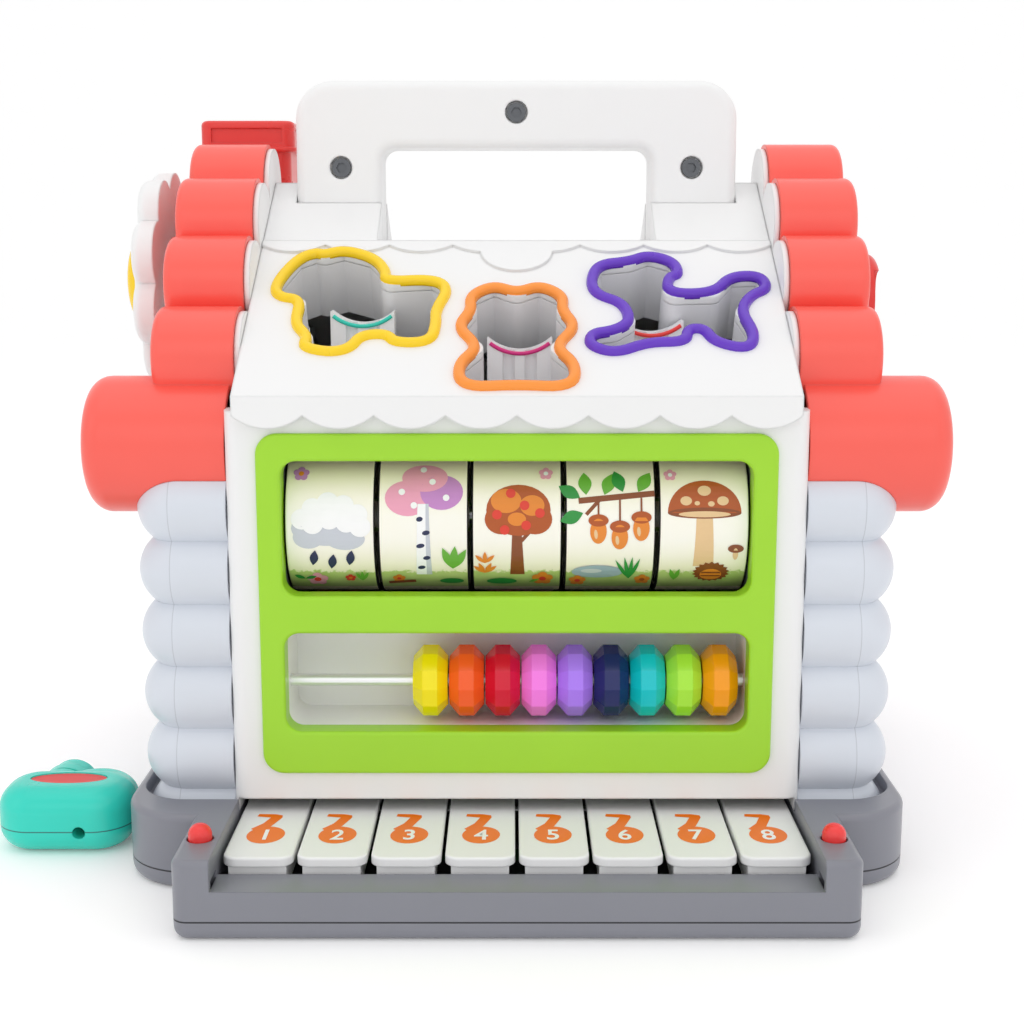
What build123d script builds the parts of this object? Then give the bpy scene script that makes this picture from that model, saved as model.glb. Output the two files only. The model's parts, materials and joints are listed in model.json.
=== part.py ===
from build123d import *
import os
from math import cos, radians, sin, tan

# Activity house for a toddler. Millimetres, +X right, +Y to the back, +Z up.
# The origin is on the floor, under the middle of the house; the keyboard is at the front.

# Fits between pieces
FIT = 0.15              # gap between fixed mouldings that meet
RUN = 0.08              # radial clearance of a shaft in its bearing
PLAY = 0.5              # gap beside a piece that moves
WALL = 2.4              # moulded wall
OVER = 1.0              # how far a cutter runs past the face it cuts
BEYOND = 400.0          # cutter that passes everything

# Base and keyboard tray
BASE_HALF_W = 130.5
BASE_HALF_D = 121.0
BASE_CORNER_R = 23.0
BASE_TOP = 25.6
BASE_SPLIT = 6.2
BASE_FOOT_R = 3.8       # rounding along the bottom edge
BASE_RIM_R = 2.2        # rounding along the top edge
RECESS_FLOOR = 21.0
TRAY_HALF_W = 105.2
TRAY_REACH = 38.0       # how far the tray stands in front of the base
TRAY_CORNER_R = 5.0
TRAY_LIP_TOP = 16.0

# Piano keys
KEY_COUNT = 8
KEY_PITCH = 23.15
KEY_W = 21.9
KEY_TOP = 21.0
KEY_PLATE = 3.0
KEY_EDGE_R = 0.8
KEY_SKIRT_W = 18.1
KEY_SKIRT_WALL = 1.8
KEY_SKIRT_BOTTOM = 10.0
KEY_FRONT = -144.4
KEY_NOSE_R = 4.5
KEY_LIP_INSET = 1.0
KEY_PIVOT_Y = -82.0
KEY_PIVOT_Z = 13.0
KEY_ROD_R = 1.6
KEY_BOSS_R = 3.4
KEY_BOSS_WEB = 1.0
KEY_PLUNGER_Y = -116.0
KEY_PLUNGER_BOTTOM = 10.0
KEY_PLUNGER_T = 2.4
KEY_BED_GAP = 0.8
KEY_BED_BACK = -74.0

# Push buttons
BUTTON_X = 99.15
BUTTON_Y = -140.0
BUTTON_R = 3.75
BUTTON_CROWN_R = 3.7
BUTTON_HOLE_R = 4.25
BUTTON_RISE = 5.0
BUTTON_PLATE = 2.4
BUTTON_FOOT_LENGTH = 13.0
BUTTON_FOOT_H = 2.0

# Log walls
LOG_INNER_X = 95.0
LOG_HALF_W = 127.0
LOG_HALF_D = 103.0
LOG_CORNER_R = 16.0
LOG_PITCH = 21.35
LOG_BULGE = 5.0
LOG_COUNT = 6
LOG_TOP = 133.35

# Front and rear walls
FRONT_Y = -105.0
WALL_TOP = 156.0
WALL_RETURN = 12.0
WALL_EDGE_R = 5.0

# Green bezel with its two windows
BEZEL_HALF_W = 84.3
BEZEL_BOTTOM = 35.0
BEZEL_TOP = 148.9
BEZEL_R = 7.0
BEZEL_PROUD = 2.0
BEZEL_LIP = 2.2         # how far the flange laps over the wall
BEZEL_DEPTH = 6.0
BEZEL_RIM_R = 1.2
WINDOW_HALF_W = 76.3
WINDOW_R = 5.0
DRUM_WINDOW = (95.4, 139.9)
BEAD_WINDOW = (49.5, 82.9)

# Picture drums
DRUM_COUNT = 5
DRUM_PITCH = 30.6
DRUM_W = 29.2
DRUM_R = 25.6
DRUM_SHELL = 2.0
DRUM_EDGE_R = 0.8
DRUM_HUB_R = 6.0
DRUM_Y = -77.4
DRUM_Z = 117.4
DRUM_AXLE_R = 3.0
DRUM_GAP = 2.5

# Abacus
BEAD_COUNT = 9
BEAD_PITCH = 12.1
BEAD_W = 11.6
BEAD_R = 12.3
BEAD_BAND = 4.9
BEAD_END_R = 8.4
BEAD_FACETS = 12
BEAD_ROD_R = 2.1
BEAD_ROD_Y = -93.0
BEAD_ROD_Z = 63.4
BEAD_RIGHT_EDGE = 73.7
ABACUS_BACK = -77.0
ABACUS_WALL = 1.6

# Roof
FOLD_Y = -110.0
FOLD_Z = 161.3
SLOPE = 32.55
ROOF_HALF_W = 91.0
ROOF_SKIN = 3.0
SADDLE_HALF_W = 50.0
SADDLE_Z = 210.0
AWNING_CUSP = 155.0
AWNING_DROP = 150.8
SCALLOP_COUNT = 8
VALANCE_LIFT = 0.9
VALANCE_DROP = 4.3
VALANCE_CUSP = 86.2     # up the slope from the fold
TAB_HALF_W = 12.4
TAB_TIP = 70.0

# Shape holes, across and up the slope from the fold
RIM_W = 3.6
RIM_H = 2.6
RIM_ROUND = 1.2
HOLE_ROUND = 2.6
HOLE_CUT = 12.0
CHUTE_SKIN = 1.6
CHUTE_DEPTH = 22.0
HOUND = [
    (-83.9, 60.8), (-77.7, 77.5), (-71.3, 81.8), (-68.3, 80.2), (-61.4, 83.5), (-50.5, 78.6), (-45.5, 69.9),
    (-45.9, 63.4), (-28.7, 65.1), (-23.2, 59.1), (-27.6, 46.3), (-27.0, 38.8), (-28.5, 28.1), (-40.2, 27.6),
    (-43.2, 32.9), (-52.0, 31.8), (-54.9, 24.4), (-61.7, 22.3), (-70.6, 25.5), (-69.2, 31.3), (-74.7, 38.8),
    (-73.4, 52.7), (-81.3, 53.8),
]
BEAR_HALF = [(0, 56.5), (7.9, 61.3), (16.2, 54.8), (15.2, 46.3), (20.1, 36.6), (12.2, 25.5), (19.5, 15.9), (17.5, 3.8)]
BEAR_FOOT_DIP = 1.5
PUPPY = [
    (25.6, 64.5), (28.7, 74.2), (39.6, 75.9), (46.5, 80.2), (55.4, 75.9), (56.8, 67.8), (52.3, 65.6), (52.2, 55.9),
    (68.0, 56.5), (74.1, 66.7), (84.9, 67.2), (86.8, 59.1), (79.8, 54.8), (75.7, 45.7), (79.4, 32.4), (75.9, 23.9),
    (65.2, 28.1), (62.8, 35.6), (56.9, 35.6), (55.9, 28.1), (43.1, 28.1), (32.3, 21.7), (24.0, 26.0), (24.5, 32.9),
    (32.4, 34.5), (38.3, 39.8), (36.4, 50.5), (27.1, 55.4),
]
POST_W = 22.0
POST_DEPTH = 8.0
POST_SADDLE_R = 16.0
POST_SADDLE_LIFT = 12.0
POST_FLUTE_R = 2.0
POST_FLUTE_X = 3.7
POSTS = [(-53.0, -60.0, 186.0), (1.0, -72.0, 177.5), (46.0, -64.0, 183.0)]   # across, back, top

# Roof logs: ridge first, then down the slope, as distance from the ridge and height
ROOF_LOGS = [(0.0, 228.5), (27.0, 215.0), (50.0, 194.5), (73.0, 171.0)]
ROOF_LOG_R = 17.0
ROOF_LOG_END = 121.0
ROOF_LOG_ROUND = 3.0
ROOF_LOG_INNER_ROUND = 0.6
EAVE_LOG = (78.0, 142.0)
EAVE_LOG_R = 23.0
EAVE_LOG_END = 143.3
EAVE_LOG_ROUND = 7.0
EAVE_LOG_INNER_ROUND = 4.6

# Gables
GABLE_SKIN = 2.0
GABLE_SHY = 1.6         # how far the white edge stays inside the logs
GABLE_OUTER_X = 108.0
GABLE_LEDGE = 2.4
BOSS_R = 8.0
BOSS_LENGTH = 12.0
BOSS_PROUD = 4.0

# Flower spinner on the left gable, knob on the right one
FLOWER_Z = 194.6
PETAL_COUNT = 9
PETAL_REACH = 41.0
PETAL_R = 12.5
PETAL_T = 8.4
PETAL_ROUND = 3.5
EYE_R = 17.0
EYE_H = 7.6
EYE_ROUND = 6.1
SPINDLE_R = 4.0
SPINDLE_TIP = 100.0
FLOWER_GAP = 9.0        # between the log ends and the petals
KNOB_GAP = 0.7          # between the log ends and the knob
KNOB_Z = 187.0
KNOB_R = 18.0
KNOB_H = 15.0
KNOB_ROUND = 4.0
KNOB_GRIP_W = 9.0
KNOB_GRIP_DEPTH = 3.0
KNOB_SCOOP_H = 23.4
KNOB_SCOOP_R = 5.0

# Handle
HANDLE_HALF_W = 81.7
HANDLE_TOP = 268.0
HANDLE_FOOT = 200.0
HANDLE_HALF_T = 12.0
HANDLE_GAP_TOP = 243.6
HANDLE_OUTER_R = 14.0
HANDLE_INNER_R = 5.0
HANDLE_EDGE_R = 3.5
HANDLE_SKIN = 3.0
SCREW_SPOTS = [(0.0, 256.5), (-65.0, 236.5), (65.0, 236.5)]
SCREW_WELL_R = 4.2
SCREW_WELL_DEPTH = 4.0
SCREW_HEAD_R = 3.4
SCREW_HEAD_H = 2.2
SCREW_SHANK_R = 1.6
SCREW_LENGTH = 14.0
SCREW_SUNK = 1.0        # head below the underside
SCREW_HOLE_SPARE = 2.0
SCREW_HEX = 2.0
SCREW_HEX_DEPTH = 1.4
SCREW_POST_R = 5.2
BASE_SCREWS = [(-112.0, -98.0), (112.0, -98.0), (-112.0, 98.0), (112.0, 98.0)]

# Chimney
CHIMNEY_X = -105.3
CHIMNEY_Y = 40.0
CHIMNEY_STEM = 33.0
CHIMNEY_CAP = 36.6
CHIMNEY_CAP_BOTTOM = 246.0
CHIMNEY_TOP = 256.0
CHIMNEY_BEAD_H = 2.0
CHIMNEY_BEAD_PROUD = 0.8
CHIMNEY_BEAD_R = 0.8
CHIMNEY_CAP_R = 2.0
CHIMNEY_R = 4.5
CHIMNEY_PANEL_DEPTH = 1.0
CHIMNEY_PANEL_LOW = 1.5
CHIMNEY_PANEL_HIGH = 3.0

# Rear door and its lock
DOOR_HALF_W = 48.0
DOOR_BOTTOM = 34.0
DOOR_SPRING = 80.0      # where the arched top begins
DOOR_PANEL_INSET = 9.0
DOOR_PANEL_DEPTH = 0.8
HINGE_X = -52.0
HINGE_OUT = 3.0         # hinge line outside the wall face
HINGE_R = 3.0
HINGE_PIN_R = 1.5
HINGE_BARREL = (45.0, 75.0)
HINGE_LUG_H = 4.0
HINGE_STRAP_T = 2.2
LOCK_X = 26.0
LOCK_Z = 72.0
LOCK_R = 8.5
LOCK_FLANGE_R = 11.0
LOCK_FLANGE_T = 2.2
LOCK_CAM_LENGTH = 30.0
LOCK_CAM_W = 8.0
LOCK_CAM_T = 2.6
LOCK_CAM_HUB_R = 10.5
KEYHOLE_W = 5.2
KEYHOLE_H = 12.0
KEYHOLE_EYE_R = 3.6

# Inside the base
COVER_HALF_W = 42.0
COVER_FRONT = 36.0
COVER_BACK = 98.0
COVER_T = 2.2
COVER_CORNER_R = 4.0
COVER_GRIP = (24.0, 8.0, 3.0)
COVER_GRIP_INSET = 12.0
COVER_GRIP_DEPTH = 0.8
BATTERY_BOX_TOP = 17.6
BOARD_T = 1.6
BOARD_Z = 3.4
BOARD_HALF_W = 84.0
BOARD_FRONT = -134.0
BOARD_BACK = -98.0
BOARD_CORNER_R = 2.0
BOARD_RIB_W = 6.0
DOME_R = 4.0
DOME_H = 1.5
PAD_T = 0.8
PAD_HALF_D = 6.0
SPEAKER_X = -78.0
SPEAKER_Y = 10.0
SPEAKER_R = 25.0
SPEAKER_H = 11.0
SPEAKER_BASKET_H = 3.0
SPEAKER_CONE_H = 4.0
SPEAKER_RIM = 3.0
SPEAKER_MAGNET_R = 14.0
GRILLE_HOLE_R = 2.2
GRILLE_RINGS = [(0.0, 1), (7.5, 6), (15.0, 12)]

# Toy key lying beside the house
TOY_KEY_X = -158.0
TOY_KEY_Y = -78.0
BOW_W = 47.0
BOW_D = 30.0
BOW_CORNER_R = 13.0
BOW_H = 23.0
BOW_ROUND = 8.5
LOBE_R = 15.0           # rounded shoulder behind the bow, towards the house
LOBE_X = 8.0
LOBE_Y = 6.0
LOBE_H = 22.0
SHANK_STEPS = [(10.5, 8.0), (9.0, 4.0), (9.9, 6.0), (8.2, 4.0), (8.8, 6.0), (6.4, 6.0)]
SHANK_ROUND = 1.2
SHANK_X = -6.0
CORD_HOLE_R = 2.2
CORD_HOLE_X = 7.0
CORD_HOLE_Z = 8.6
CORD_HOLE_DEPTH = 10.0
LABEL_W = 27.0
LABEL_H = 11.0
LABEL_DEPTH = 0.6
LABEL_Y = 1.0

# Worked-out places
RISE = tan(radians(SLOPE))
RIDGE_Z = FOLD_Z - FOLD_Y * RISE
ROOF_DROP = ROOF_SKIN / cos(radians(SLOPE))
BASE_FRONT = -BASE_HALF_D
TRAY_FRONT = BASE_FRONT - TRAY_REACH
KEY_BED_HALF = KEY_COUNT * KEY_PITCH / 2 + PLAY
KEY_BED_FRONT = KEY_FRONT - KEY_BED_GAP
PANEL_HALF_W = LOG_INNER_X - FIT
LOG_DEPTH = LOG_BULGE + WALL
DOOR_GAP = PLAY
COVER_R = DRUM_R + DRUM_GAP + WALL
COVER_FRONT_Y = FRONT_Y + BEZEL_DEPTH + FIT
DRUM_SPAN = (DRUM_COUNT - 1) * DRUM_PITCH / 2
CHEEK_X = DRUM_SPAN + DRUM_W / 2 + PLAY
BEAD_FIRST = BEAD_RIGHT_EDGE - BEAD_W / 2 - (BEAD_COUNT - 1) * BEAD_PITCH
HINGE_Y = -FRONT_Y + HINGE_OUT
GABLE_INNER_X = ROOF_HALF_W + FIT
ROOF_LOG_FORM = (ROOF_LOG_R, GABLE_INNER_X + GABLE_SKIN + FIT, ROOF_LOG_END, ROOF_LOG_ROUND, ROOF_LOG_INNER_ROUND)
EAVE_LOG_FORM = (EAVE_LOG_R, LOG_INNER_X + FIT, EAVE_LOG_END, EAVE_LOG_ROUND, EAVE_LOG_INNER_ROUND)
ALL_LOGS = [(y, z, *ROOF_LOG_FORM) for y, z in ROOF_LOGS]
ALL_LOGS += [(-y, z, *ROOF_LOG_FORM) for y, z in ROOF_LOGS[1:]]
ALL_LOGS += [(side * EAVE_LOG[0], EAVE_LOG[1], *EAVE_LOG_FORM) for side in (-1, 1)]
ROOF_PLANE = Plane(
    origin=(0, FOLD_Y, FOLD_Z),
    x_dir=(1, 0, 0),
    z_dir=(0, -sin(radians(SLOPE)), cos(radians(SLOPE))),
)


# Building blocks

def block(x, y, z):
    """Box between two values on each axis."""
    size = Box(x[1] - x[0], y[1] - y[0], z[1] - z[0])
    return Pos((x[0] + x[1]) / 2, (y[0] + y[1]) / 2, (z[0] + z[1]) / 2) * size


def prism_x(sketch, x0, x1):
    """Sketch in Y and Z, drawn out along X."""
    return extrude(Plane.YZ.offset(x0) * sketch, x1 - x0)


def prism_y(sketch, y0, y1):
    """Sketch in X and Z, drawn out along Y."""
    return extrude(Plane.XZ.offset(-y1) * sketch, y1 - y0)


def prism_z(sketch, z0, z1):
    """Sketch in X and Y, drawn out along Z."""
    return extrude(Plane.XY.offset(z0) * sketch, z1 - z0)


def rod_x(y, z, r, x0, x1):
    """Round bar along X."""
    return prism_x(Pos(y, z) * Circle(r), x0, x1)


def rod_y(x, z, r, y0, y1):
    """Round bar along Y."""
    return prism_y(Pos(x, z) * Circle(r), y0, y1)


def rounded_window(half_w, low, high, r):
    """Rounded rectangle in X and Z."""
    return Pos(0, (low + high) / 2) * RectangleRounded(2 * half_w, high - low, r)


def scalloped_edge(half_w, count, cusp, tip):
    """Row of round scallops from left to right, as joined arcs."""
    pitch = 2 * half_w / count
    arcs = []
    for i in range(count):
        left = -half_w + i * pitch
        arcs.append(ThreePointArc((left, cusp), (left + pitch / 2, tip), (left + pitch, cusp)))
    return arcs


# Base

def base_plan(inset):
    """Outline of the base with the tray in front, drawn in by a wall."""
    body = RectangleRounded(2 * (BASE_HALF_W - inset), 2 * (BASE_HALF_D - inset), BASE_CORNER_R - inset)
    depth = -TRAY_FRONT - inset
    tray = RectangleRounded(2 * (TRAY_HALF_W - inset), depth, TRAY_CORNER_R)
    return body + Pos(0, TRAY_FRONT + inset + depth / 2) * tray


def battery_plan(grow):
    """Opening of the battery box, seen from below."""
    depth = COVER_BACK - COVER_FRONT
    plan = RectangleRounded(2 * (COVER_HALF_W + grow), depth + 2 * grow, COVER_CORNER_R + grow)
    return Pos(0, COVER_FRONT + depth / 2) * plan


def make_base_lower():
    shell = prism_z(base_plan(0), 0, BASE_SPLIT)
    shell = fillet(shell.edges().group_by(Axis.Z)[0], BASE_FOOT_R)
    shell -= prism_z(base_plan(WALL), WALL, BASE_SPLIT + OVER)
    box_wall = battery_plan(WALL) - battery_plan(0)
    shell += prism_z(box_wall, 0, BATTERY_BOX_TOP)
    shell += prism_z(battery_plan(WALL), BATTERY_BOX_TOP - WALL, BATTERY_BOX_TOP)
    ledge = battery_plan(0) - battery_plan(-WALL)
    shell += prism_z(ledge, COVER_T, COVER_T + WALL)
    shell -= prism_z(battery_plan(0), -OVER, COVER_T)
    half_rib = BOARD_RIB_W / 2
    for x in (BOARD_RIB_W - BOARD_HALF_W, 0, BOARD_HALF_W - BOARD_RIB_W):
        shell += block((x - half_rib, x + half_rib), (BOARD_FRONT, BOARD_BACK), (WALL, BOARD_Z))
    for ring, count in GRILLE_RINGS:
        for spot in PolarLocations(ring, count):
            hole = Pos(SPEAKER_X, SPEAKER_Y) * spot * Circle(GRILLE_HOLE_R)
            shell -= prism_z(hole, -OVER, WALL + OVER)
    for x, y in BASE_SCREWS:
        shell += prism_z(Pos(x, y) * Circle(SCREW_POST_R), WALL, BASE_SPLIT)
        shell -= prism_z(Pos(x, y) * Circle(SCREW_HEAD_R + FIT), -OVER, SCREW_SUNK + SCREW_HEAD_H)
        shell -= prism_z(Pos(x, y) * Circle(SCREW_SHANK_R + FIT), 0, BASE_SPLIT + OVER)
    return shell


def make_base_upper():
    shell = prism_z(base_plan(0), BASE_SPLIT + FIT, BASE_TOP)
    shell = fillet(shell.edges().group_by(Axis.Z)[-1], BASE_RIM_R)
    bed_x = (-KEY_BED_HALF, KEY_BED_HALF)
    above = BASE_TOP + OVER
    bed = block(bed_x, (KEY_BED_FRONT, KEY_BED_BACK), (0, above))
    frame_x = (bed_x[0] - WALL, bed_x[1] + WALL)
    bed_frame = block(frame_x, (KEY_BED_FRONT - WALL, KEY_BED_BACK + WALL), (0, above))
    hollow = prism_z(base_plan(WALL), 0, RECESS_FLOOR - WALL)
    hollow -= block(bed_x, (TRAY_FRONT, KEY_BED_FRONT), (TRAY_LIP_TOP - WALL, BASE_TOP))
    hollow -= bed_frame
    shell -= hollow
    shell -= bed
    shell -= block(bed_x, (TRAY_FRONT - OVER, KEY_BED_FRONT + OVER), (TRAY_LIP_TOP, above))
    grow = 2 * PLAY
    house = RectangleRounded(2 * LOG_HALF_W + grow, -2 * FRONT_Y + grow, LOG_CORNER_R + PLAY)
    shell -= prism_z(house, RECESS_FLOOR, above)
    for side in (-1, 1):
        x = side * BUTTON_X
        half_foot = BUTTON_FOOT_LENGTH / 2 + PLAY
        room = (side * (KEY_BED_HALF + WALL), side * (TRAY_HALF_W - WALL))
        span = (min(room), max(room))
        pocket_y = (BUTTON_Y - half_foot, BUTTON_Y + half_foot)
        shell -= block(span, pocket_y, (0, BASE_TOP - BUTTON_PLATE))
        shell -= prism_z(Pos(x, BUTTON_Y) * Circle(BUTTON_HOLE_R), 0, above)
    shell -= rod_x(KEY_PIVOT_Y, KEY_PIVOT_Z, KEY_ROD_R + RUN, *frame_x)
    for x, y in BASE_SCREWS:
        shell += prism_z(Pos(x, y) * Circle(SCREW_POST_R), BASE_SPLIT + FIT, RECESS_FLOOR - WALL)
        shell -= prism_z(Pos(x, y) * Circle(SCREW_SHANK_R + FIT), 0, SCREW_LENGTH + SCREW_HOLE_SPARE)
    return shell


def make_battery_cover():
    cover = prism_z(battery_plan(-FIT), 0, COVER_T - FIT)
    grip = Pos(0, COVER_BACK - COVER_GRIP_INSET) * RectangleRounded(*COVER_GRIP)
    return cover - prism_z(grip, -OVER, COVER_GRIP_DEPTH)


def make_circuit_board():
    depth = BOARD_BACK - BOARD_FRONT
    plan = Pos(0, BOARD_FRONT + depth / 2) * RectangleRounded(2 * BOARD_HALF_W, depth, BOARD_CORNER_R)
    return prism_z(plan, BOARD_Z, BOARD_Z + BOARD_T)


def key_x(i):
    """Middle of key i, counted from the left."""
    return (i - (KEY_COUNT - 1) / 2) * KEY_PITCH


def make_contact_strip():
    bottom = BOARD_Z + BOARD_T
    strip_y = (KEY_PLUNGER_Y - PAD_HALF_D, KEY_PLUNGER_Y + PAD_HALF_D)
    strip = block((-BOARD_HALF_W, BOARD_HALF_W), strip_y, (bottom, bottom + PAD_T))
    for i in range(KEY_COUNT):
        dome = prism_z(Pos(key_x(i), KEY_PLUNGER_Y) * Circle(DOME_R), bottom, bottom + PAD_T + DOME_H)
        strip += fillet(dome.edges().group_by(Axis.Z)[-1], DOME_H / 2)
    return strip


def make_speaker():
    cone_low = WALL + SPEAKER_BASKET_H
    cone_high = cone_low + SPEAKER_CONE_H
    basket = prism_z(Circle(SPEAKER_R), WALL, cone_low)
    cone = Cone(SPEAKER_R - SPEAKER_RIM, SPEAKER_MAGNET_R, SPEAKER_CONE_H)
    cone = Pos(0, 0, (cone_low + cone_high) / 2) * cone
    magnet = prism_z(Circle(SPEAKER_MAGNET_R), cone_high, WALL + SPEAKER_H)
    return Pos(SPEAKER_X, SPEAKER_Y) * (basket + cone + magnet)


def screw(tip_length):
    """Screw with its head at the origin, pointing up."""
    body = prism_z(Circle(SCREW_HEAD_R), 0, SCREW_HEAD_H)
    body += prism_z(Circle(SCREW_SHANK_R), SCREW_HEAD_H, tip_length)
    return body - prism_z(RegularPolygon(SCREW_HEX, 6), -OVER, SCREW_HEX_DEPTH)


def make_screws():
    screws = []
    for x, y in BASE_SCREWS:
        screws.append(Pos(x, y, SCREW_SUNK) * screw(SCREW_LENGTH))
    for x, z in SCREW_SPOTS:
        seat = -HANDLE_HALF_T + SCREW_WELL_DEPTH - SCREW_HEAD_H
        screws.append(Pos(x, seat, z) * Rot(-90, 0, 0) * screw(SCREW_LENGTH))
    return screws


# Keyboard

def make_key(i):
    back = KEY_PIVOT_Y + KEY_BOSS_R
    length = back - KEY_FRONT
    plate = prism_z(Pos(0, KEY_FRONT + length / 2) * Rectangle(KEY_W, length), KEY_TOP - KEY_PLATE, KEY_TOP)
    nose = plate.edges().filter_by(Axis.Z).group_by(Axis.Y)[0]
    plate = fillet(nose, KEY_NOSE_R)
    plate = fillet(plate.edges().group_by(Axis.Z)[-1], KEY_EDGE_R)
    half = KEY_SKIRT_W / 2
    front = KEY_FRONT + KEY_LIP_INSET
    under = KEY_TOP - KEY_PLATE
    skirt = block((-half, half), (front, KEY_PIVOT_Y), (KEY_SKIRT_BOTTOM, under))
    inner = half - KEY_SKIRT_WALL
    skirt -= block((-inner, inner), (front + WALL, KEY_PIVOT_Y - KEY_BOSS_R - KEY_BOSS_WEB), (0, under))
    plunger_y = (KEY_PLUNGER_Y - KEY_PLUNGER_T / 2, KEY_PLUNGER_Y + KEY_PLUNGER_T / 2)
    skirt += block((-inner, inner), plunger_y, (KEY_PLUNGER_BOTTOM, under))
    key = plate + skirt + rod_x(KEY_PIVOT_Y, KEY_PIVOT_Z, KEY_BOSS_R, -half, half)
    key += block((-half, half), (KEY_PIVOT_Y, back), (KEY_PIVOT_Z, under))
    key -= rod_x(KEY_PIVOT_Y, KEY_PIVOT_Z, KEY_ROD_R + RUN, -KEY_W, KEY_W)
    return Pos(key_x(i), 0, 0) * key


def make_key_rod():
    reach = KEY_BED_HALF + WALL - FIT
    return rod_x(KEY_PIVOT_Y, KEY_PIVOT_Z, KEY_ROD_R, -reach, reach)


def make_button(side):
    foot_top = BASE_TOP - BUTTON_PLATE - FIT
    room = (TRAY_HALF_W - WALL - KEY_BED_HALF - WALL) / 2 - PLAY
    stem = prism_z(Circle(BUTTON_R), foot_top - BUTTON_FOOT_H, BASE_TOP + BUTTON_RISE)
    stem = fillet(stem.edges().group_by(Axis.Z)[-1], BUTTON_CROWN_R)
    middle = (TRAY_HALF_W - WALL + KEY_BED_HALF + WALL) / 2 - BUTTON_X
    half = BUTTON_FOOT_LENGTH / 2
    foot = block((middle - room, middle + room), (-half, half), (foot_top - BUTTON_FOOT_H, foot_top))
    button = stem + foot
    if side < 0:
        button = mirror(button, Plane.YZ)
    return Pos(side * BUTTON_X, BUTTON_Y, 0) * button


# Walls

def log_profile():
    """Cross section of the log wall: distance inwards from the log crests, and height."""
    lowest = LOG_TOP - LOG_COUNT * LOG_PITCH
    edges = []
    for i in range(LOG_COUNT):
        low = lowest + i * LOG_PITCH
        high = low + LOG_PITCH
        edges.append(ThreePointArc((LOG_BULGE, low), (0, (low + high) / 2), (LOG_BULGE, high)))
    back = Polyline((LOG_BULGE, LOG_TOP), (LOG_DEPTH, LOG_TOP), (LOG_DEPTH, lowest), (LOG_BULGE, lowest))
    return make_face(edges + back.edges())


def make_log_wall(side):
    near = [(LOG_INNER_X, -LOG_HALF_D), (LOG_HALF_W, -LOG_HALF_D)]
    far = [(LOG_HALF_W, LOG_HALF_D), (LOG_INNER_X, LOG_HALF_D)]
    path = FilletPolyline(*near, *far, radius=LOG_CORNER_R)
    start = Plane(origin=(LOG_INNER_X, -LOG_HALF_D, 0), x_dir=(0, 1, 0), z_dir=(1, 0, 0))
    wall = sweep(start * log_profile(), path=path)
    inner = LOG_HALF_D - LOG_DEPTH
    for y in ((-inner - WALL, FRONT_Y + WALL_RETURN), (-FRONT_Y - WALL_RETURN, inner + WALL)):
        wall += block((LOG_INNER_X, LOG_INNER_X + WALL), y, (RECESS_FLOOR, LOG_TOP))
    wall -= block((0, BEYOND), (-BEYOND, BEYOND), (0, RECESS_FLOOR + FIT))
    for y in (-EAVE_LOG[0], EAVE_LOG[0]):
        wall -= rod_x(y, EAVE_LOG[1], EAVE_LOG_R + FIT, 0, BEYOND)
    return mirror(wall, Plane.YZ) if side < 0 else wall


def wall_shell():
    """Front wall as a shallow shell, open at the back."""
    back = FRONT_Y + WALL_RETURN
    shell = block((-PANEL_HALF_W, PANEL_HALF_W), (FRONT_Y, back), (RECESS_FLOOR + FIT, WALL_TOP))
    shell = fillet(shell.edges().filter_by(Axis.Z).group_by(Axis.Y)[0], WALL_EDGE_R)
    inner = PANEL_HALF_W - WALL
    return shell - block((-inner, inner), (FRONT_Y + WALL, back + OVER), (0, WALL_TOP + OVER))


def bezel_plug(grow):
    """Part of the bezel that goes into the wall, in X and Z."""
    inset = BEZEL_LIP - grow
    return rounded_window(BEZEL_HALF_W - inset, BEZEL_BOTTOM + inset, BEZEL_TOP - inset, BEZEL_R)


def make_front_wall():
    wall = wall_shell()
    wall -= block((-KEY_BED_HALF, KEY_BED_HALF), (FRONT_Y - OVER, 0), (0, BASE_TOP))
    return wall - prism_y(bezel_plug(FIT), FRONT_Y - OVER, FRONT_Y + WALL + OVER)


def make_bezel():
    face = rounded_window(BEZEL_HALF_W, BEZEL_BOTTOM, BEZEL_TOP, BEZEL_R)
    flange = prism_y(face, FRONT_Y - BEZEL_PROUD, FRONT_Y - FIT)
    flange = fillet(flange.edges().group_by(Axis.Y)[0], BEZEL_PROUD / 2)
    bezel = flange + prism_y(bezel_plug(0), FRONT_Y - FIT, FRONT_Y + BEZEL_DEPTH)
    for low, high in (DRUM_WINDOW, BEAD_WINDOW):
        window = rounded_window(WINDOW_HALF_W, low, high, WINDOW_R)
        bezel -= prism_y(window, FRONT_Y - BEYOND, FRONT_Y + BEYOND)
    rims = [e for e in bezel.edges().group_by(Axis.Y)[0] if abs(e.center().X) <= WINDOW_HALF_W + FIT]
    return fillet(rims, BEZEL_RIM_R)


def door_outline(grow):
    """Arched door in X and Z."""
    half = DOOR_HALF_W + grow
    low = DOOR_BOTTOM - grow
    straight = Pos(0, (low + DOOR_SPRING) / 2) * Rectangle(2 * half, DOOR_SPRING - low)
    return straight + Pos(0, DOOR_SPRING) * Circle(half)


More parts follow.
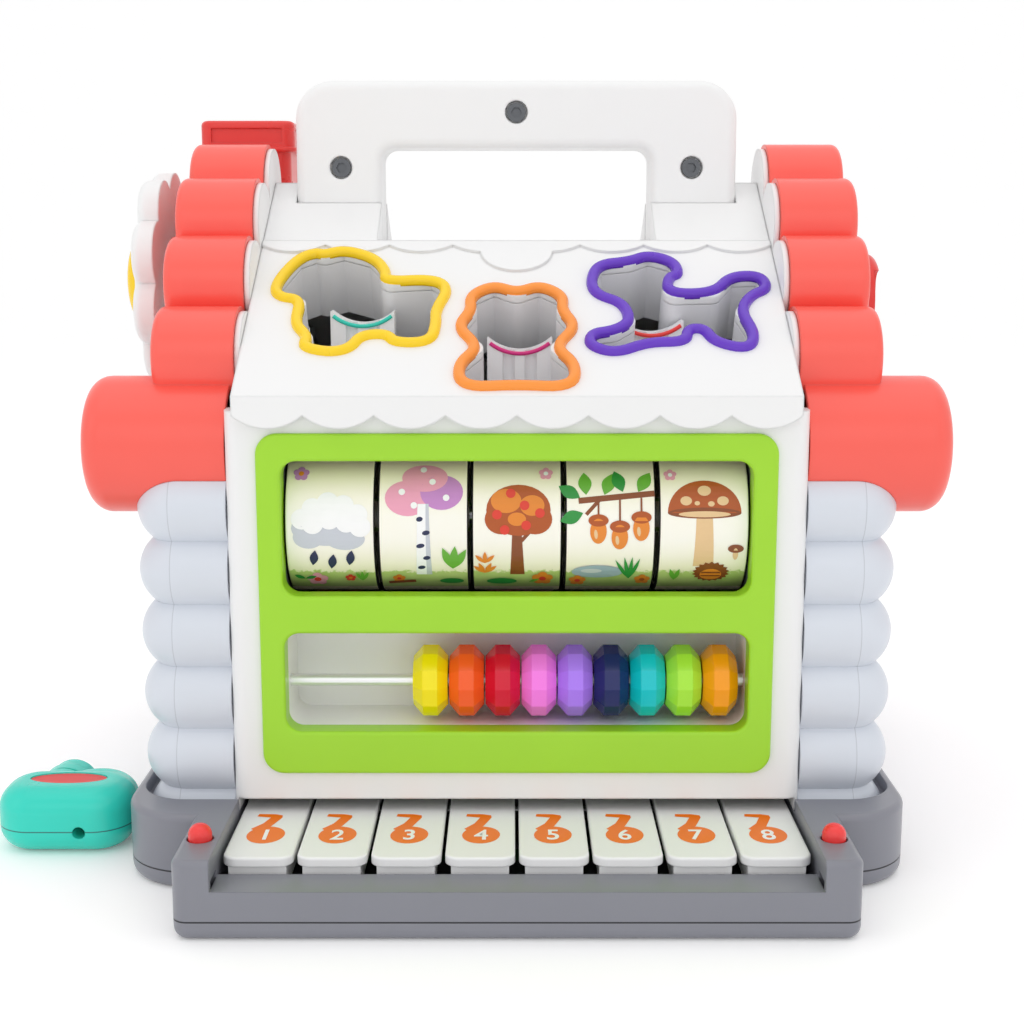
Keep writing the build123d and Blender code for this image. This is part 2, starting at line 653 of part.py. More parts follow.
def make_rear_wall():
    wall = mirror(wall_shell(), Plane.XZ)
    face = -FRONT_Y
    wall -= prism_y(door_outline(DOOR_GAP), face - WALL - OVER, face + OVER)
    for low in (HINGE_BARREL[0] - DOOR_GAP - HINGE_LUG_H, HINGE_BARREL[1] + DOOR_GAP):
        high = low + HINGE_LUG_H
        lug = block((HINGE_X - HINGE_R, HINGE_X + HINGE_R), (face - WALL / 2, HINGE_Y), (low, high))
        lug += prism_z(Pos(HINGE_X, HINGE_Y) * Circle(HINGE_R), low, high)
        wall += lug - prism_z(Pos(HINGE_X, HINGE_Y) * Circle(HINGE_PIN_R + RUN), low, high)
    return wall


def make_door():
    face = -FRONT_Y
    door = prism_y(door_outline(0), face - WALL, face)
    door -= prism_y(door_outline(-DOOR_PANEL_INSET), face - DOOR_PANEL_DEPTH, face + OVER)
    low, high = HINGE_BARREL
    door += prism_z(Pos(HINGE_X, HINGE_Y) * Circle(HINGE_R), low, high)
    strap_y = (HINGE_Y - HINGE_STRAP_T / 2, HINGE_Y + HINGE_STRAP_T / 2)
    door += block((HINGE_X, -DOOR_HALF_W + DOOR_PANEL_INSET), strap_y, (low, high))
    door += block((-DOOR_HALF_W, -DOOR_HALF_W + DOOR_PANEL_INSET), (face - WALL, strap_y[1]), (low, high))
    pin = (low - DOOR_GAP - HINGE_LUG_H, high + DOOR_GAP + HINGE_LUG_H)
    door += prism_z(Pos(HINGE_X, HINGE_Y) * Circle(HINGE_PIN_R), *pin)
    return door - rod_y(LOCK_X, LOCK_Z, LOCK_R + RUN, 0, face + OVER)


def make_lock():
    face = -FRONT_Y
    panel_face = face - DOOR_PANEL_DEPTH
    barrel = rod_y(LOCK_X, LOCK_Z, LOCK_R, face - WALL - FIT, panel_face + FIT)
    flange = rod_y(LOCK_X, LOCK_Z, LOCK_FLANGE_R, panel_face + FIT, panel_face + FIT + LOCK_FLANGE_T)
    flange = fillet(flange.edges().group_by(Axis.Y)[-1], LOCK_FLANGE_T / 2)
    half = LOCK_CAM_W / 2
    cam_y = (face - WALL - FIT - LOCK_CAM_T, face - WALL - FIT)
    cam = block((LOCK_X - half, LOCK_X + half), cam_y, (LOCK_Z, LOCK_Z + LOCK_CAM_LENGTH - half))
    cam += rod_y(LOCK_X, LOCK_Z, LOCK_CAM_HUB_R, *cam_y)
    cam += rod_y(LOCK_X, LOCK_Z + LOCK_CAM_LENGTH - half, half, *cam_y)
    slot = Pos(LOCK_X, LOCK_Z) * (Rectangle(KEYHOLE_W, KEYHOLE_H) + Circle(KEYHOLE_EYE_R))
    return barrel + flange + cam - prism_y(slot, cam_y[0] - OVER, face + LOCK_FLANGE_T + OVER)


# Windows

def drum_x(i):
    """Middle of drum i, counted from the left."""
    return (i - (DRUM_COUNT - 1) / 2) * DRUM_PITCH


def make_drum(i):
    x = drum_x(i)
    half = DRUM_W / 2
    drum = rod_x(DRUM_Y, DRUM_Z, DRUM_R, x - half, x + half)
    drum = fillet(drum.edges().filter_by(GeomType.CIRCLE), DRUM_EDGE_R)
    inner = Circle(DRUM_R - DRUM_SHELL) - Circle(DRUM_HUB_R)
    ends = (x - half - OVER, x + half + OVER)
    for x0, x1 in ((ends[0], x - DRUM_SHELL / 2), (x + DRUM_SHELL / 2, ends[1])):
        drum -= prism_x(Pos(DRUM_Y, DRUM_Z) * inner, x0, x1)
    return drum - rod_x(DRUM_Y, DRUM_Z, DRUM_AXLE_R + RUN, *ends)


def make_drum_axle():
    reach = CHEEK_X + WALL
    return rod_x(DRUM_Y, DRUM_Z, DRUM_AXLE_R, -reach, reach)


def cover_section(r, front):
    """Drum cover seen from the side: round behind the drums, open to the front."""
    depth = DRUM_Y - front
    return Pos(DRUM_Y, DRUM_Z) * Circle(r) + Pos(DRUM_Y - depth / 2, DRUM_Z) * Rectangle(depth, 2 * r)


def make_drum_cover():
    outer = CHEEK_X + WALL
    cover = prism_x(cover_section(COVER_R, COVER_FRONT_Y), -outer, outer)
    cover -= block((-BEYOND, BEYOND), (-BEYOND, COVER_FRONT_Y), (0, BEYOND))
    cover -= prism_x(cover_section(COVER_R - WALL, COVER_FRONT_Y - WALL), -CHEEK_X, CHEEK_X)
    return cover - rod_x(DRUM_Y, DRUM_Z, DRUM_AXLE_R + FIT, -BEYOND, BEYOND)


def make_abacus_tray():
    low, high = BEAD_WINDOW
    half = WINDOW_HALF_W + ABACUS_WALL
    outer = rounded_window(half, low - ABACUS_WALL, high + ABACUS_WALL, WINDOW_R + ABACUS_WALL)
    tray = prism_y(outer, COVER_FRONT_Y, ABACUS_BACK + ABACUS_WALL)
    tray -= prism_y(rounded_window(WINDOW_HALF_W, low, high, WINDOW_R), -BEYOND, ABACUS_BACK)
    return tray - rod_x(BEAD_ROD_Y, BEAD_ROD_Z, BEAD_ROD_R + FIT, -BEYOND, BEYOND)


def make_abacus_rod():
    reach = WINDOW_HALF_W + ABACUS_WALL
    return rod_x(BEAD_ROD_Y, BEAD_ROD_Z, BEAD_ROD_R, -reach, reach)


def make_bead(i):
    facets = Plane.YZ * RegularPolygon(BEAD_R, BEAD_FACETS)
    ends = Plane.YZ * RegularPolygon(BEAD_END_R, BEAD_FACETS)
    bead = extrude(Pos(-BEAD_BAND / 2, 0, 0) * facets, BEAD_BAND)
    for side in (-1, 1):
        section = [Pos(side * BEAD_BAND / 2, 0, 0) * facets, Pos(side * BEAD_W / 2, 0, 0) * ends]
        bead += loft(section, ruled=True)
    bead -= rod_x(0, 0, BEAD_ROD_R + RUN, -BEYOND, BEYOND)
    return Pos(BEAD_FIRST + i * BEAD_PITCH, BEAD_ROD_Y, BEAD_ROD_Z) * bead


# Roof

def roof_body(drop, half_w, front, saddle_half, saddle_z):
    """Solid under one roof slope, with the finger saddle cut from its ridge."""
    low = FOLD_Z - 3 * ROOF_DROP
    top = FOLD_Z - drop
    at_front = top + (front - FOLD_Y) * RISE
    side = make_face(Polyline((front, low), (front, at_front), (0, RIDGE_Z - drop), (0, low), close=True))
    body = prism_x(side, -half_w, half_w)
    return body - block((-saddle_half, saddle_half), (-BEYOND, OVER), (saddle_z, BEYOND))


def roof_shell():
    shell = roof_body(0, ROOF_HALF_W, FOLD_Y, SADDLE_HALF_W, SADDLE_Z)
    inner_saddle = (SADDLE_HALF_W + ROOF_SKIN, SADDLE_Z - ROOF_SKIN)
    shell -= roof_body(ROOF_DROP, BEYOND, FOLD_Y + ROOF_SKIN, *inner_saddle)
    shell -= block((-BEYOND, BEYOND), (-BEYOND, OVER), (0, FOLD_Z - ROOF_DROP))
    awning = scalloped_edge(ROOF_HALF_W, SCALLOP_COUNT, AWNING_CUSP, AWNING_DROP)
    right, left = (ROOF_HALF_W, -ROOF_HALF_W)
    top = Polyline((right, AWNING_CUSP), (right, FOLD_Z), (left, FOLD_Z), (left, AWNING_CUSP))
    skirt = prism_y(make_face(awning + top.edges()), FOLD_Y, FRONT_Y - FIT)
    shell += skirt - block((-BEYOND, BEYOND), (FOLD_Y + ROOF_SKIN, 0), (FOLD_Z - ROOF_DROP, BEYOND))
    for side in (-1, 1):
        leg = (side * (SADDLE_HALF_W - FIT), side * (HANDLE_HALF_W + FIT))
        shell -= block((min(leg), max(leg)), (-HANDLE_HALF_T - FIT, OVER), (HANDLE_FOOT - FIT, BEYOND))
    return shell - block((-BEYOND, BEYOND), (-FIT, OVER), (0, BEYOND))


def valance():
    """Raised scalloped border below the ridge, with a round tab in the middle."""
    edge = scalloped_edge(ROOF_HALF_W, SCALLOP_COUNT, VALANCE_CUSP, VALANCE_CUSP - VALANCE_DROP)
    top_v = (SADDLE_Z - FOLD_Z) / sin(radians(SLOPE)) - ROOF_SKIN / 2
    right, left = (ROOF_HALF_W, -ROOF_HALF_W)
    sides = Polyline((right, VALANCE_CUSP), (right, top_v), (left, top_v), (left, VALANCE_CUSP))
    border = make_face(edge + sides.edges())
    tab = make_face([
        ThreePointArc((-TAB_HALF_W, VALANCE_CUSP), (0, TAB_TIP), (TAB_HALF_W, VALANCE_CUSP)),
        Line((TAB_HALF_W, VALANCE_CUSP), (-TAB_HALF_W, VALANCE_CUSP)),
    ])
    return extrude(ROOF_PLANE * (border + tab), VALANCE_LIFT)


def hole_outline(points, grow):
    """Closed outline with rounded corners, grown or drawn in."""
    face = make_face(FilletPolyline(*points, radius=HOLE_ROUND, close=True))
    return offset(face, grow, kind=Kind.ARC) if grow else face


def bear_points():
    mirrored = [(-x, v) for x, v in reversed(BEAR_HALF[1:])]
    return BEAR_HALF + [(0, BEAR_HALF[-1][1] + BEAR_FOOT_DIP)] + mirrored


HOLES = {"left": HOUND, "centre": bear_points(), "right": PUPPY}


def make_roof_front():
    roof = roof_shell() + valance()
    for points in HOLES.values():
        hole = hole_outline(points, -RIM_W / 2)
        roof -= extrude(ROOF_PLANE * hole, HOLE_CUT, both=True)
    for points in HOLES.values():
        roof -= extrude(ROOF_PLANE * hole_outline(points, RIM_W / 2 + FIT), 2 * VALANCE_LIFT)
    return roof


def make_rim(points):
    rim = extrude(ROOF_PLANE * (hole_outline(points, RIM_W / 2) - hole_outline(points, -RIM_W / 2)), RIM_H)
    top = rim.faces().sort_by(Axis(ROOF_PLANE.origin, ROOF_PLANE.z_dir))[-1]
    return fillet(top.edges(), RIM_ROUND)


def make_chutes():
    pieces = []
    for points in HOLES.values():
        ring = hole_outline(points, -RIM_W / 2 + CHUTE_SKIN) - hole_outline(points, -RIM_W / 2)
        chute = extrude(ROOF_PLANE.offset(-ROOF_SKIN - FIT) * ring, -CHUTE_DEPTH)
        chute -= block((-BEYOND, BEYOND), (-BEYOND, FRONT_Y + WALL + FIT), (0, BEYOND))
        chute -= block((-BEYOND, BEYOND), (-BEYOND, 0), (0, DRUM_Z + COVER_R + FIT))
        pieces += chute.solids()
    for x, y, top in POSTS:
        half = POST_W / 2
        post_y = (y - POST_DEPTH / 2, y + POST_DEPTH / 2)
        post = block((x - half, x + half), post_y, (DRUM_Z, top))
        post -= rod_y(x, top + POST_SADDLE_LIFT, POST_SADDLE_R, -BEYOND, BEYOND)
        for flute in (-POST_FLUTE_X, POST_FLUTE_X):
            post -= prism_z(Pos(x + flute, post_y[0]) * Circle(POST_FLUTE_R), 0, BEYOND)
        post -= rod_x(DRUM_Y, DRUM_Z, COVER_R + FIT, x - POST_W, x + POST_W)
        pieces.append(post)
    return pieces


def round_end(bar, r):
    """Bar along X with its outer end rounded."""
    return fillet(bar.edges().filter_by(GeomType.CIRCLE).group_by(Axis.X)[-1], r)


def make_roof_logs(side):
    skins = None
    hollows = None
    for y, z, r, start, end, rounding, inner_rounding in ALL_LOGS:
        log = round_end(rod_x(y, z, r, start, end), rounding)
        hollow = round_end(rod_x(y, z, r - WALL, start - OVER, end - WALL), inner_rounding)
        skins = log if skins is None else skins + log
        hollows = hollow if hollows is None else hollows + hollow
    logs = skins - hollows
    return mirror(logs, Plane.YZ) if side < 0 else logs


def gable_outline(shy, with_logs):
    """Gable in Y and Z: the triangle under the logs, with or without the round log ends."""
    low = LOG_TOP + FIT
    crown = [(y, z) for y, z, *_ in sorted(ALL_LOGS)]
    corners = [(crown[0][0], low)] + crown + [(crown[-1][0], low)]
    face = make_face(Polyline(*corners, close=True))
    for y, z, r, *_ in ALL_LOGS:
        disc = Pos(y, z) * Circle(r - shy)
        face = face + disc if with_logs else face - disc
    below = Pos(0, low - EAVE_LOG_R) * Rectangle(4 * EAVE_LOG[0], 2 * EAVE_LOG_R)
    return face - below


def make_gable(side):
    gable = prism_x(gable_outline(GABLE_SHY, True), GABLE_INNER_X, GABLE_INNER_X + GABLE_SKIN)
    gable += prism_x(gable_outline(-FIT, False), GABLE_OUTER_X, GABLE_OUTER_X + GABLE_SKIN)
    low = LOG_TOP + FIT
    reach = EAVE_LOG[0] - EAVE_LOG_R - FIT
    ledge_x = (GABLE_INNER_X, LOG_HALF_W - LOG_BULGE)
    gable += block(ledge_x, (-reach, reach), (low, low + GABLE_LEDGE))
    wall_y = -FRONT_Y - WALL_RETURN - FIT
    for notch_y in ((-BEYOND, -wall_y), (wall_y, BEYOND)):
        gable -= block((0, LOG_INNER_X), notch_y, (0, WALL_TOP + FIT))
    z = FLOWER_Z if side < 0 else KNOB_Z
    boss = (GABLE_OUTER_X + GABLE_SKIN - BOSS_LENGTH, GABLE_OUTER_X + GABLE_SKIN + BOSS_PROUD)
    gable += rod_x(0, z, BOSS_R, *boss)
    gable -= rod_x(0, z, SPINDLE_R + RUN, boss[0] - OVER, boss[1] + OVER)
    return mirror(gable, Plane.YZ) if side < 0 else gable


def make_chimney():
    stem_plan = Pos(CHIMNEY_X, CHIMNEY_Y) * RectangleRounded(CHIMNEY_STEM, CHIMNEY_STEM, CHIMNEY_R)
    cap_plan = Pos(CHIMNEY_X, CHIMNEY_Y) * RectangleRounded(CHIMNEY_CAP, CHIMNEY_CAP, CHIMNEY_R)
    bead_side = CHIMNEY_CAP + 2 * CHIMNEY_BEAD_PROUD
    bead_plan = Pos(CHIMNEY_X, CHIMNEY_Y) * RectangleRounded(bead_side, bead_side, CHIMNEY_R)
    stem = prism_z(stem_plan, ROOF_LOGS[2][1], CHIMNEY_CAP_BOTTOM)
    bead = prism_z(bead_plan, CHIMNEY_CAP_BOTTOM - CHIMNEY_BEAD_H, CHIMNEY_CAP_BOTTOM)
    bead_rims = bead.edges().group_by(Axis.Z)
    bead = fillet(bead_rims[0] + bead_rims[-1], CHIMNEY_BEAD_R)
    cap = prism_z(cap_plan, CHIMNEY_CAP_BOTTOM - FIT, CHIMNEY_TOP)
    cap = fillet(cap.edges().group_by(Axis.Z)[-1], CHIMNEY_CAP_R)
    panel_half = CHIMNEY_CAP / 2 - CHIMNEY_R
    for angle in range(0, 360, 90):
        panel = block(
            (-panel_half, panel_half),
            (-CHIMNEY_CAP, CHIMNEY_PANEL_DEPTH - CHIMNEY_CAP / 2),
            (CHIMNEY_CAP_BOTTOM + CHIMNEY_PANEL_LOW, CHIMNEY_TOP - CHIMNEY_PANEL_HIGH),
        )
        cap -= Pos(CHIMNEY_X, CHIMNEY_Y, 0) * Rot(0, 0, angle) * panel
    chimney = stem + bead + cap
    for y, z, r, *_ in ALL_LOGS:
        chimney -= rod_x(y, z, r + FIT, -BEYOND, BEYOND)
    slope = make_face(Polyline((0, 0), (0, RIDGE_Z), (-FOLD_Y, FOLD_Z), (-FOLD_Y, 0), close=True))
    return chimney - Pos(0, 0, FIT) * prism_x(slope, -BEYOND, BEYOND)


# Gable toys

def spindle(x, z):
    """Shaft that carries a gable toy, running inwards from its back face."""
    return rod_x(0, z, SPINDLE_R, SPINDLE_TIP, x)


def make_flower():
    face = ROOF_LOG_END + FLOWER_GAP
    disc = Circle(PETAL_REACH - PETAL_R)
    for spot in PolarLocations(PETAL_REACH - PETAL_R, PETAL_COUNT):
        disc += spot * Circle(PETAL_R)
    petals = prism_x(Pos(0, FLOWER_Z) * disc, face, face + PETAL_T)
    petals = fillet(petals.edges().group_by(Axis.X)[-1], PETAL_ROUND)
    return mirror(petals + spindle(face, FLOWER_Z), Plane.YZ)


def make_flower_eye():
    back = ROOF_LOG_END + FLOWER_GAP + PETAL_T
    eye = rod_x(0, FLOWER_Z, EYE_R, back, back + EYE_H)
    eye = fillet(eye.edges().group_by(Axis.X)[-1], EYE_ROUND)
    return mirror(eye, Plane.YZ)


def make_knob():
    face = ROOF_LOG_END + KNOB_GAP
    knob = rod_x(0, KNOB_Z, KNOB_R, face, face + KNOB_H)
    knob = fillet(knob.edges().group_by(Axis.X)[-1], KNOB_ROUND)
    for side in (-1, 1):
        y = side * (KNOB_GRIP_W / 2 + KNOB_R)
        scoop = Pos(y, KNOB_Z) * RectangleRounded(2 * KNOB_R, KNOB_SCOOP_H, KNOB_SCOOP_R)
        knob -= prism_x(scoop, face + KNOB_H - KNOB_GRIP_DEPTH, BEYOND)
    return knob + spindle(face, KNOB_Z)


# Handle

def handle_outline(inset):
    outer = Rectangle(2 * (HANDLE_HALF_W - inset), HANDLE_TOP - HANDLE_FOOT - 2 * inset)
    outer = Pos(0, (HANDLE_TOP + HANDLE_FOOT) / 2) * outer
    outer = fillet(outer.vertices().group_by(Axis.Y)[-1], HANDLE_OUTER_R - inset)
    gap_top = HANDLE_GAP_TOP + inset
    gap = Rectangle(2 * (SADDLE_HALF_W + inset), gap_top - HANDLE_FOOT)
    gap = Pos(0, (gap_top + HANDLE_FOOT) / 2) * gap
    gap = fillet(gap.vertices().group_by(Axis.Y)[-1], HANDLE_INNER_R + inset)
    return outer - gap


def make_handle_half(front):
    half = prism_y(handle_outline(0), -HANDLE_HALF_T, -FIT / 2)
    half = fillet(half.edges().group_by(Axis.Y)[0], HANDLE_EDGE_R)
    half -= prism_y(handle_outline(HANDLE_SKIN), -HANDLE_HALF_T + HANDLE_SKIN, OVER)
    for x, z in SCREW_SPOTS:
        half += rod_y(x, z, SCREW_POST_R, -HANDLE_HALF_T + HANDLE_SKIN, -FIT / 2)
    if not front:
        half = mirror(half, Plane.XZ)
    for x, z in SCREW_SPOTS:
        well = SCREW_WELL_DEPTH - HANDLE_HALF_T
        half -= rod_y(x, z, SCREW_WELL_R, -BEYOND, well)
        half -= rod_y(x, z, SCREW_SHANK_R + FIT, -HANDLE_HALF_T, well + SCREW_LENGTH)
    return half


# Toy key

def pebble(plan, height):
    """Flat-topped form with generously rounded edges, resting on the floor."""
    form = prism_z(plan, 0, height)
    rims = form.edges().group_by(Axis.Z)
    return fillet(rims[0] + rims[-1], BOW_ROUND)


def make_toy_key():
    key = pebble(RectangleRounded(BOW_W, BOW_D, BOW_CORNER_R), BOW_H)
    key += pebble(Pos(LOBE_X, LOBE_Y) * Circle(LOBE_R), LOBE_H)
    y = BOW_D / 2 - BOW_ROUND
    for r, length in SHANK_STEPS:
        step = rod_y(SHANK_X, BOW_H / 2, r, y, y + length)
        key += fillet(step.edges().group_by(Axis.Y)[-1], SHANK_ROUND)
        y += length - SHANK_ROUND
    label = Pos(0, LABEL_Y) * Ellipse(LABEL_W / 2, LABEL_H / 2)
    key -= prism_z(label, BOW_H - LABEL_DEPTH, BOW_H + OVER)
    key -= rod_y(CORD_HOLE_X, CORD_HOLE_Z, CORD_HOLE_R, -BEYOND, CORD_HOLE_DEPTH - BOW_D / 2)
    return Pos(TOY_KEY_X, TOY_KEY_Y, 0) * key


def main():
    nodes = {
        "base_lower": make_base_lower(),
        "base_upper": make_base_upper(),
        "battery_cover": make_battery_cover(),
        "circuit_board": make_circuit_board(),
        "key_contact_strip": make_contact_strip(),
        "speaker": make_speaker(),
        "key_pivot_rod": make_key_rod(),
        "housing_screws": make_screws(),
        "front_wall": make_front_wall(),
        "window_bezel": make_bezel(),
        "abacus_tray": make_abacus_tray(),
        "abacus_rod": make_abacus_rod(),
        "drum_axle": make_drum_axle(),
        "drum_cover": make_drum_cover(),
        "log_wall_left": make_log_wall(-1),
        "log_wall_right": make_log_wall(1),
        "rear_wall": make_rear_wall(),
        "rear_door": make_door(),
        "lock_barrel": make_lock(),
        "roof_front": make_roof_front(),
        "roof_rear": mirror(roof_shell(), Plane.XZ),
        "sorter_chutes": make_chutes(),
        "gable_left": make_gable(-1),
        "gable_right": make_gable(1),
        "roof_logs_left": make_roof_logs(-1),
        "roof_logs_right": make_roof_logs(1),
        "chimney": make_chimney(),
        "flower_petals": make_flower(),
        "flower_centre": make_flower_eye(),
        "side_knob": make_knob(),
        "handle_front": make_handle_half(True),
        "handle_rear": make_handle_half(False),
        "button_left": make_button(-1),
        "button_right": make_button(1),
        "toy_key": make_toy_key(),
    }
    for place, points in HOLES.items():
        nodes[f"sorter_rim_{place}"] = make_rim(points)
    for i in range(KEY_COUNT):
        nodes[f"piano_key_{i + 1}"] = make_key(i)
    for i in range(DRUM_COUNT):
        nodes[f"picture_drum_{i + 1}"] = make_drum(i)
    for i in range(BEAD_COUNT):
        nodes[f"bead_{i + 1}"] = make_bead(i)
    os.makedirs("parts", exist_ok=True)
    for name, shape in nodes.items():
        shape = Compound(children=shape) if isinstance(shape, list) else shape
        export_step(shape, os.path.join("parts", f"{name}.step"))


main()
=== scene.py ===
import json
import math

import bmesh
import bpy
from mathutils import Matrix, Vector


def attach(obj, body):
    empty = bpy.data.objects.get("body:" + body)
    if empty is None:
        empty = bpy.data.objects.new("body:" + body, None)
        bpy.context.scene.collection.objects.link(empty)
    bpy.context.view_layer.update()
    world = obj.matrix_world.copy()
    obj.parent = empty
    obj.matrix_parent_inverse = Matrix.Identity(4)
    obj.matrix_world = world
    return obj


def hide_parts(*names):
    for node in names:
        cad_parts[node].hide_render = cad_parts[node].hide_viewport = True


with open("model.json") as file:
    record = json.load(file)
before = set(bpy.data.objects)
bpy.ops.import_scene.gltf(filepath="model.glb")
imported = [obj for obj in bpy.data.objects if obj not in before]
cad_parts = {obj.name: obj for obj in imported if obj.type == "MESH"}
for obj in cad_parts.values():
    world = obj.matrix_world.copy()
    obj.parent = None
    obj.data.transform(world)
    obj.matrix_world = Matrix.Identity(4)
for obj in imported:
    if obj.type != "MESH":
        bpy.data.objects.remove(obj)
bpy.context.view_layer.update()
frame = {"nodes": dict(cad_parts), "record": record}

MM = 0.001

# Sizes and places of the model, in millimetres
KEY_COUNT = 8
KEY_PITCH = 23.15
KEY_TOP = 21.0
NOTE_Y = -125.6
NOTE_LAYER = 0.02
NOTE_STRIP = 4.0
NUMBER_H = 8.6
NUMBER_SQUEEZE = 0.78
NUMBER_BOLD = 0.018
NUMBER_LIFT = 0.16
PRINT_LIFT = 0.06
DRUM_COUNT = 5
DRUM_PITCH = 30.6
DRUM_R = 25.6
DRUM_Y = -77.4
DRUM_Z = 117.4
DRUM_LAYER = 0.012
DRUM_STRIP = 2.0
PICTURE_COUNT = 3
PICTURE_H = 2 * math.pi * DRUM_R / PICTURE_COUNT
PICTURE_SHIFT = 2
GRASS_TOP = -16.5
GRASS_SOFT = 0.5
BLADE_H = 5.0
CREAM_FROM, CREAM_TO = 4.0, 24.0
POSTS = [
    (-53.0, -64.0, 186.0, "teal_line"),
    (1.0, -76.0, 177.5, "magenta_line"),
    (46.0, -68.0, 183.0, "red_line"),
]
SADDLE_R = 16.0
SADDLE_LIFT = 12.0
LINE_HALF_W = 10
LINE_DROP = 1.2
LINE_R = 0.7
TOY_KEY = (-158.0, -78.0)
LABEL_HALF_W = 13.3
LABEL_HALF_D = 5.3
LABEL_V = 1.0
LABEL_Z = 22.65
LABEL_STRIP = 30.0
FOLD_Y = -110.0
FOLD_Z = 161.3
ROOF_SLOPE = math.radians(32.55)
ROOF_DROP = 3.7
WALL_TOP = 156.2
CHEEK_X = (88.9, 90.8)
CHEEK_IN = 87.0
CHEEK_OUT = 104.8
RIM_HALF_W = 1.95
RIM_H = 2.2
RIM_SUNK = 0.6
RIM_ARC = 10
RIM_FULLNESS = 0.75

# Seam lines: axis, distance from the middle, half width, depth of the shade
BASE_SEAM = (2, 6.27, 0.28, 0.85)
LOG_SEAM = (0, 114.0, 0.16, 0.2)
TOY_KEY_SEAM = (2, 8.9, 0.22, 0.75)
SEAM_DARK = (0.03, 0.03, 0.035, 1.0)

# Scales of the noise in the finishes, per metre
MOTTLE_SCALE = 30.0
GLOSS_SCALE = 42.0
GRAIN_SCALE = 2600.0
BRUSH_SCALE = (20.0, 900.0, 900.0)
BLADE_SCALE = 700.0
WASH_SCALE = 90.0
GLOSS_SPREAD = 0.05
GRAIN_DEPTH = 0.0002
BEVEL_SAMPLES = 6
DRUM_END_SHADE = 0.6           # sideways lean of the normal that tells a drum's end, which is painted dark as shade for the gaps between drums

# Studio, in metres and watts
FLOOR_FRONT = -4.0
FLOOR_BACK = 2.5
FLOOR_HALF_W = 6.0
BEND_R = 1.5
BEND_STEPS = 16
BACKDROP_TOP = 6.0
PAPER_LIFT = 0.12        # brightness added to the seen paper, not to its light
WORLD_LEVEL = 0.86
SOFTBOXES = [
    ("softbox_top", (0.0, -0.1, 1.6), (0.0, 0.0, 0.1), (1.8, 1.6), 3.6),
    ("softbox_left", (-1.5, -0.9, 0.9), (0.0, 0.0, 0.12), (0.9, 1.4), 1.4),
    ("softbox_right", (1.5, -0.9, 0.9), (0.0, 0.0, 0.12), (0.9, 1.4), 0.7),
    ("softbox_front", (0.0, -2.0, 1.1), (0.0, 0.0, 0.12), (1.8, 1.0), 3.0),
]
CAMERA_LENS = 54.49
CAMERA_SENSOR = 36.0
CAMERA_CLIP = 0.01
CAMERA_AT = (-0.0016, -0.600, 0.210)
CAMERA_PITCH = 9.95

# Outlines of the shape holes: across, and up the slope from the fold
HOUND = [
    (-83.9, 60.8), (-77.7, 77.5), (-71.3, 81.8), (-68.3, 80.2), (-61.4, 83.5), (-50.5, 78.6),
    (-45.5, 69.9), (-45.9, 63.4), (-28.7, 65.1), (-23.2, 59.1), (-27.6, 46.3), (-27.0, 38.8),
    (-28.5, 28.1), (-40.2, 27.6), (-43.2, 32.9), (-52.0, 31.8), (-54.9, 24.4), (-61.7, 22.3),
    (-70.6, 25.5), (-69.2, 31.3), (-74.7, 38.8), (-73.4, 52.7), (-81.3, 53.8),
]
BEAR_HALF = [
    (0.0, 56.5), (7.9, 61.3), (16.2, 54.8), (15.2, 46.3), (20.1, 36.6), (12.2, 25.5),
    (19.5, 15.9), (17.5, 3.8),
]
BEAR_FOOT = (0.0, 5.3)
PUPPY = [
    (25.6, 64.5), (28.7, 74.2), (39.6, 75.9), (46.5, 80.2), (55.4, 75.9), (56.8, 67.8),
    (52.3, 65.6), (52.2, 55.9), (68.0, 56.5), (74.1, 66.7), (84.9, 67.2), (86.8, 59.1),
    (79.8, 54.8), (75.7, 45.7), (79.4, 32.4), (75.9, 23.9), (65.2, 28.1), (62.8, 35.6),
    (56.9, 35.6), (55.9, 28.1), (43.1, 28.1), (32.3, 21.7), (24.0, 26.0), (24.5, 32.9),
    (32.4, 34.5), (38.3, 39.8), (36.4, 50.5), (27.1, 55.4),
]


# Objects and shader nodes

def put(name, data):
    """New object in the scene."""
    obj = bpy.data.objects.new(name, data)
    bpy.context.collection.objects.link(obj)
    return obj


def mesh_of(name, points, faces):
    mesh = bpy.data.meshes.new(name)
    mesh.from_pydata(points, [], faces)
    return mesh


def smoothed(mesh):
    mesh.polygons.foreach_set("use_smooth", [True] * len(mesh.polygons))
    return mesh


def linear(code):
    """Linear colour of a six-digit sRGB code."""
    values = []
    for i in (0, 2, 4):
        c = int(code[i:i + 2], 16) / 255
        values.append(c / 12.92 if c <= 0.04045 else ((c + 0.055) / 1.055) ** 2.4)
    return (*values, 1.0)


def shaded(colour, factor):
    """Colour made lighter or darker."""
    return (*(min(1.0, c * factor) for c in colour[:3]), 1.0)


def add(tree, kind, inputs=None, **settings):
    """New shader node; an input is a value or a socket to join."""
    made = tree.nodes.new(kind)
    for key, value in settings.items():
        setattr(made, key, value)
    for key, value in (inputs or {}).items():
        if isinstance(value, bpy.types.NodeSocket):
            tree.links.new(value, made.inputs[key])
        else:
            made.inputs[key].default_value = value
    return made


def mixed(tree, factor, a, b):
    return add(tree, "ShaderNodeMix", {0: factor, 6: a, 7: b}, data_type="RGBA").outputs[2]


def maths(tree, operation, *values):
    return add(tree, "ShaderNodeMath", dict(enumerate(values)), operation=operation).outputs[0]


def noise(tree, place, scale, detail):
    inputs = {"Vector": place, "Scale": scale, "Detail": detail}
    return add(tree, "ShaderNodeTexNoise", inputs).outputs["Fac"]


def ramp(tree, value, start, end, low, high):
    inputs = {"Value": value, "From Min": start, "From Max": end, "To Min": low, "To Max": high}
    return add(tree, "ShaderNodeMapRange", inputs).outputs["Result"]


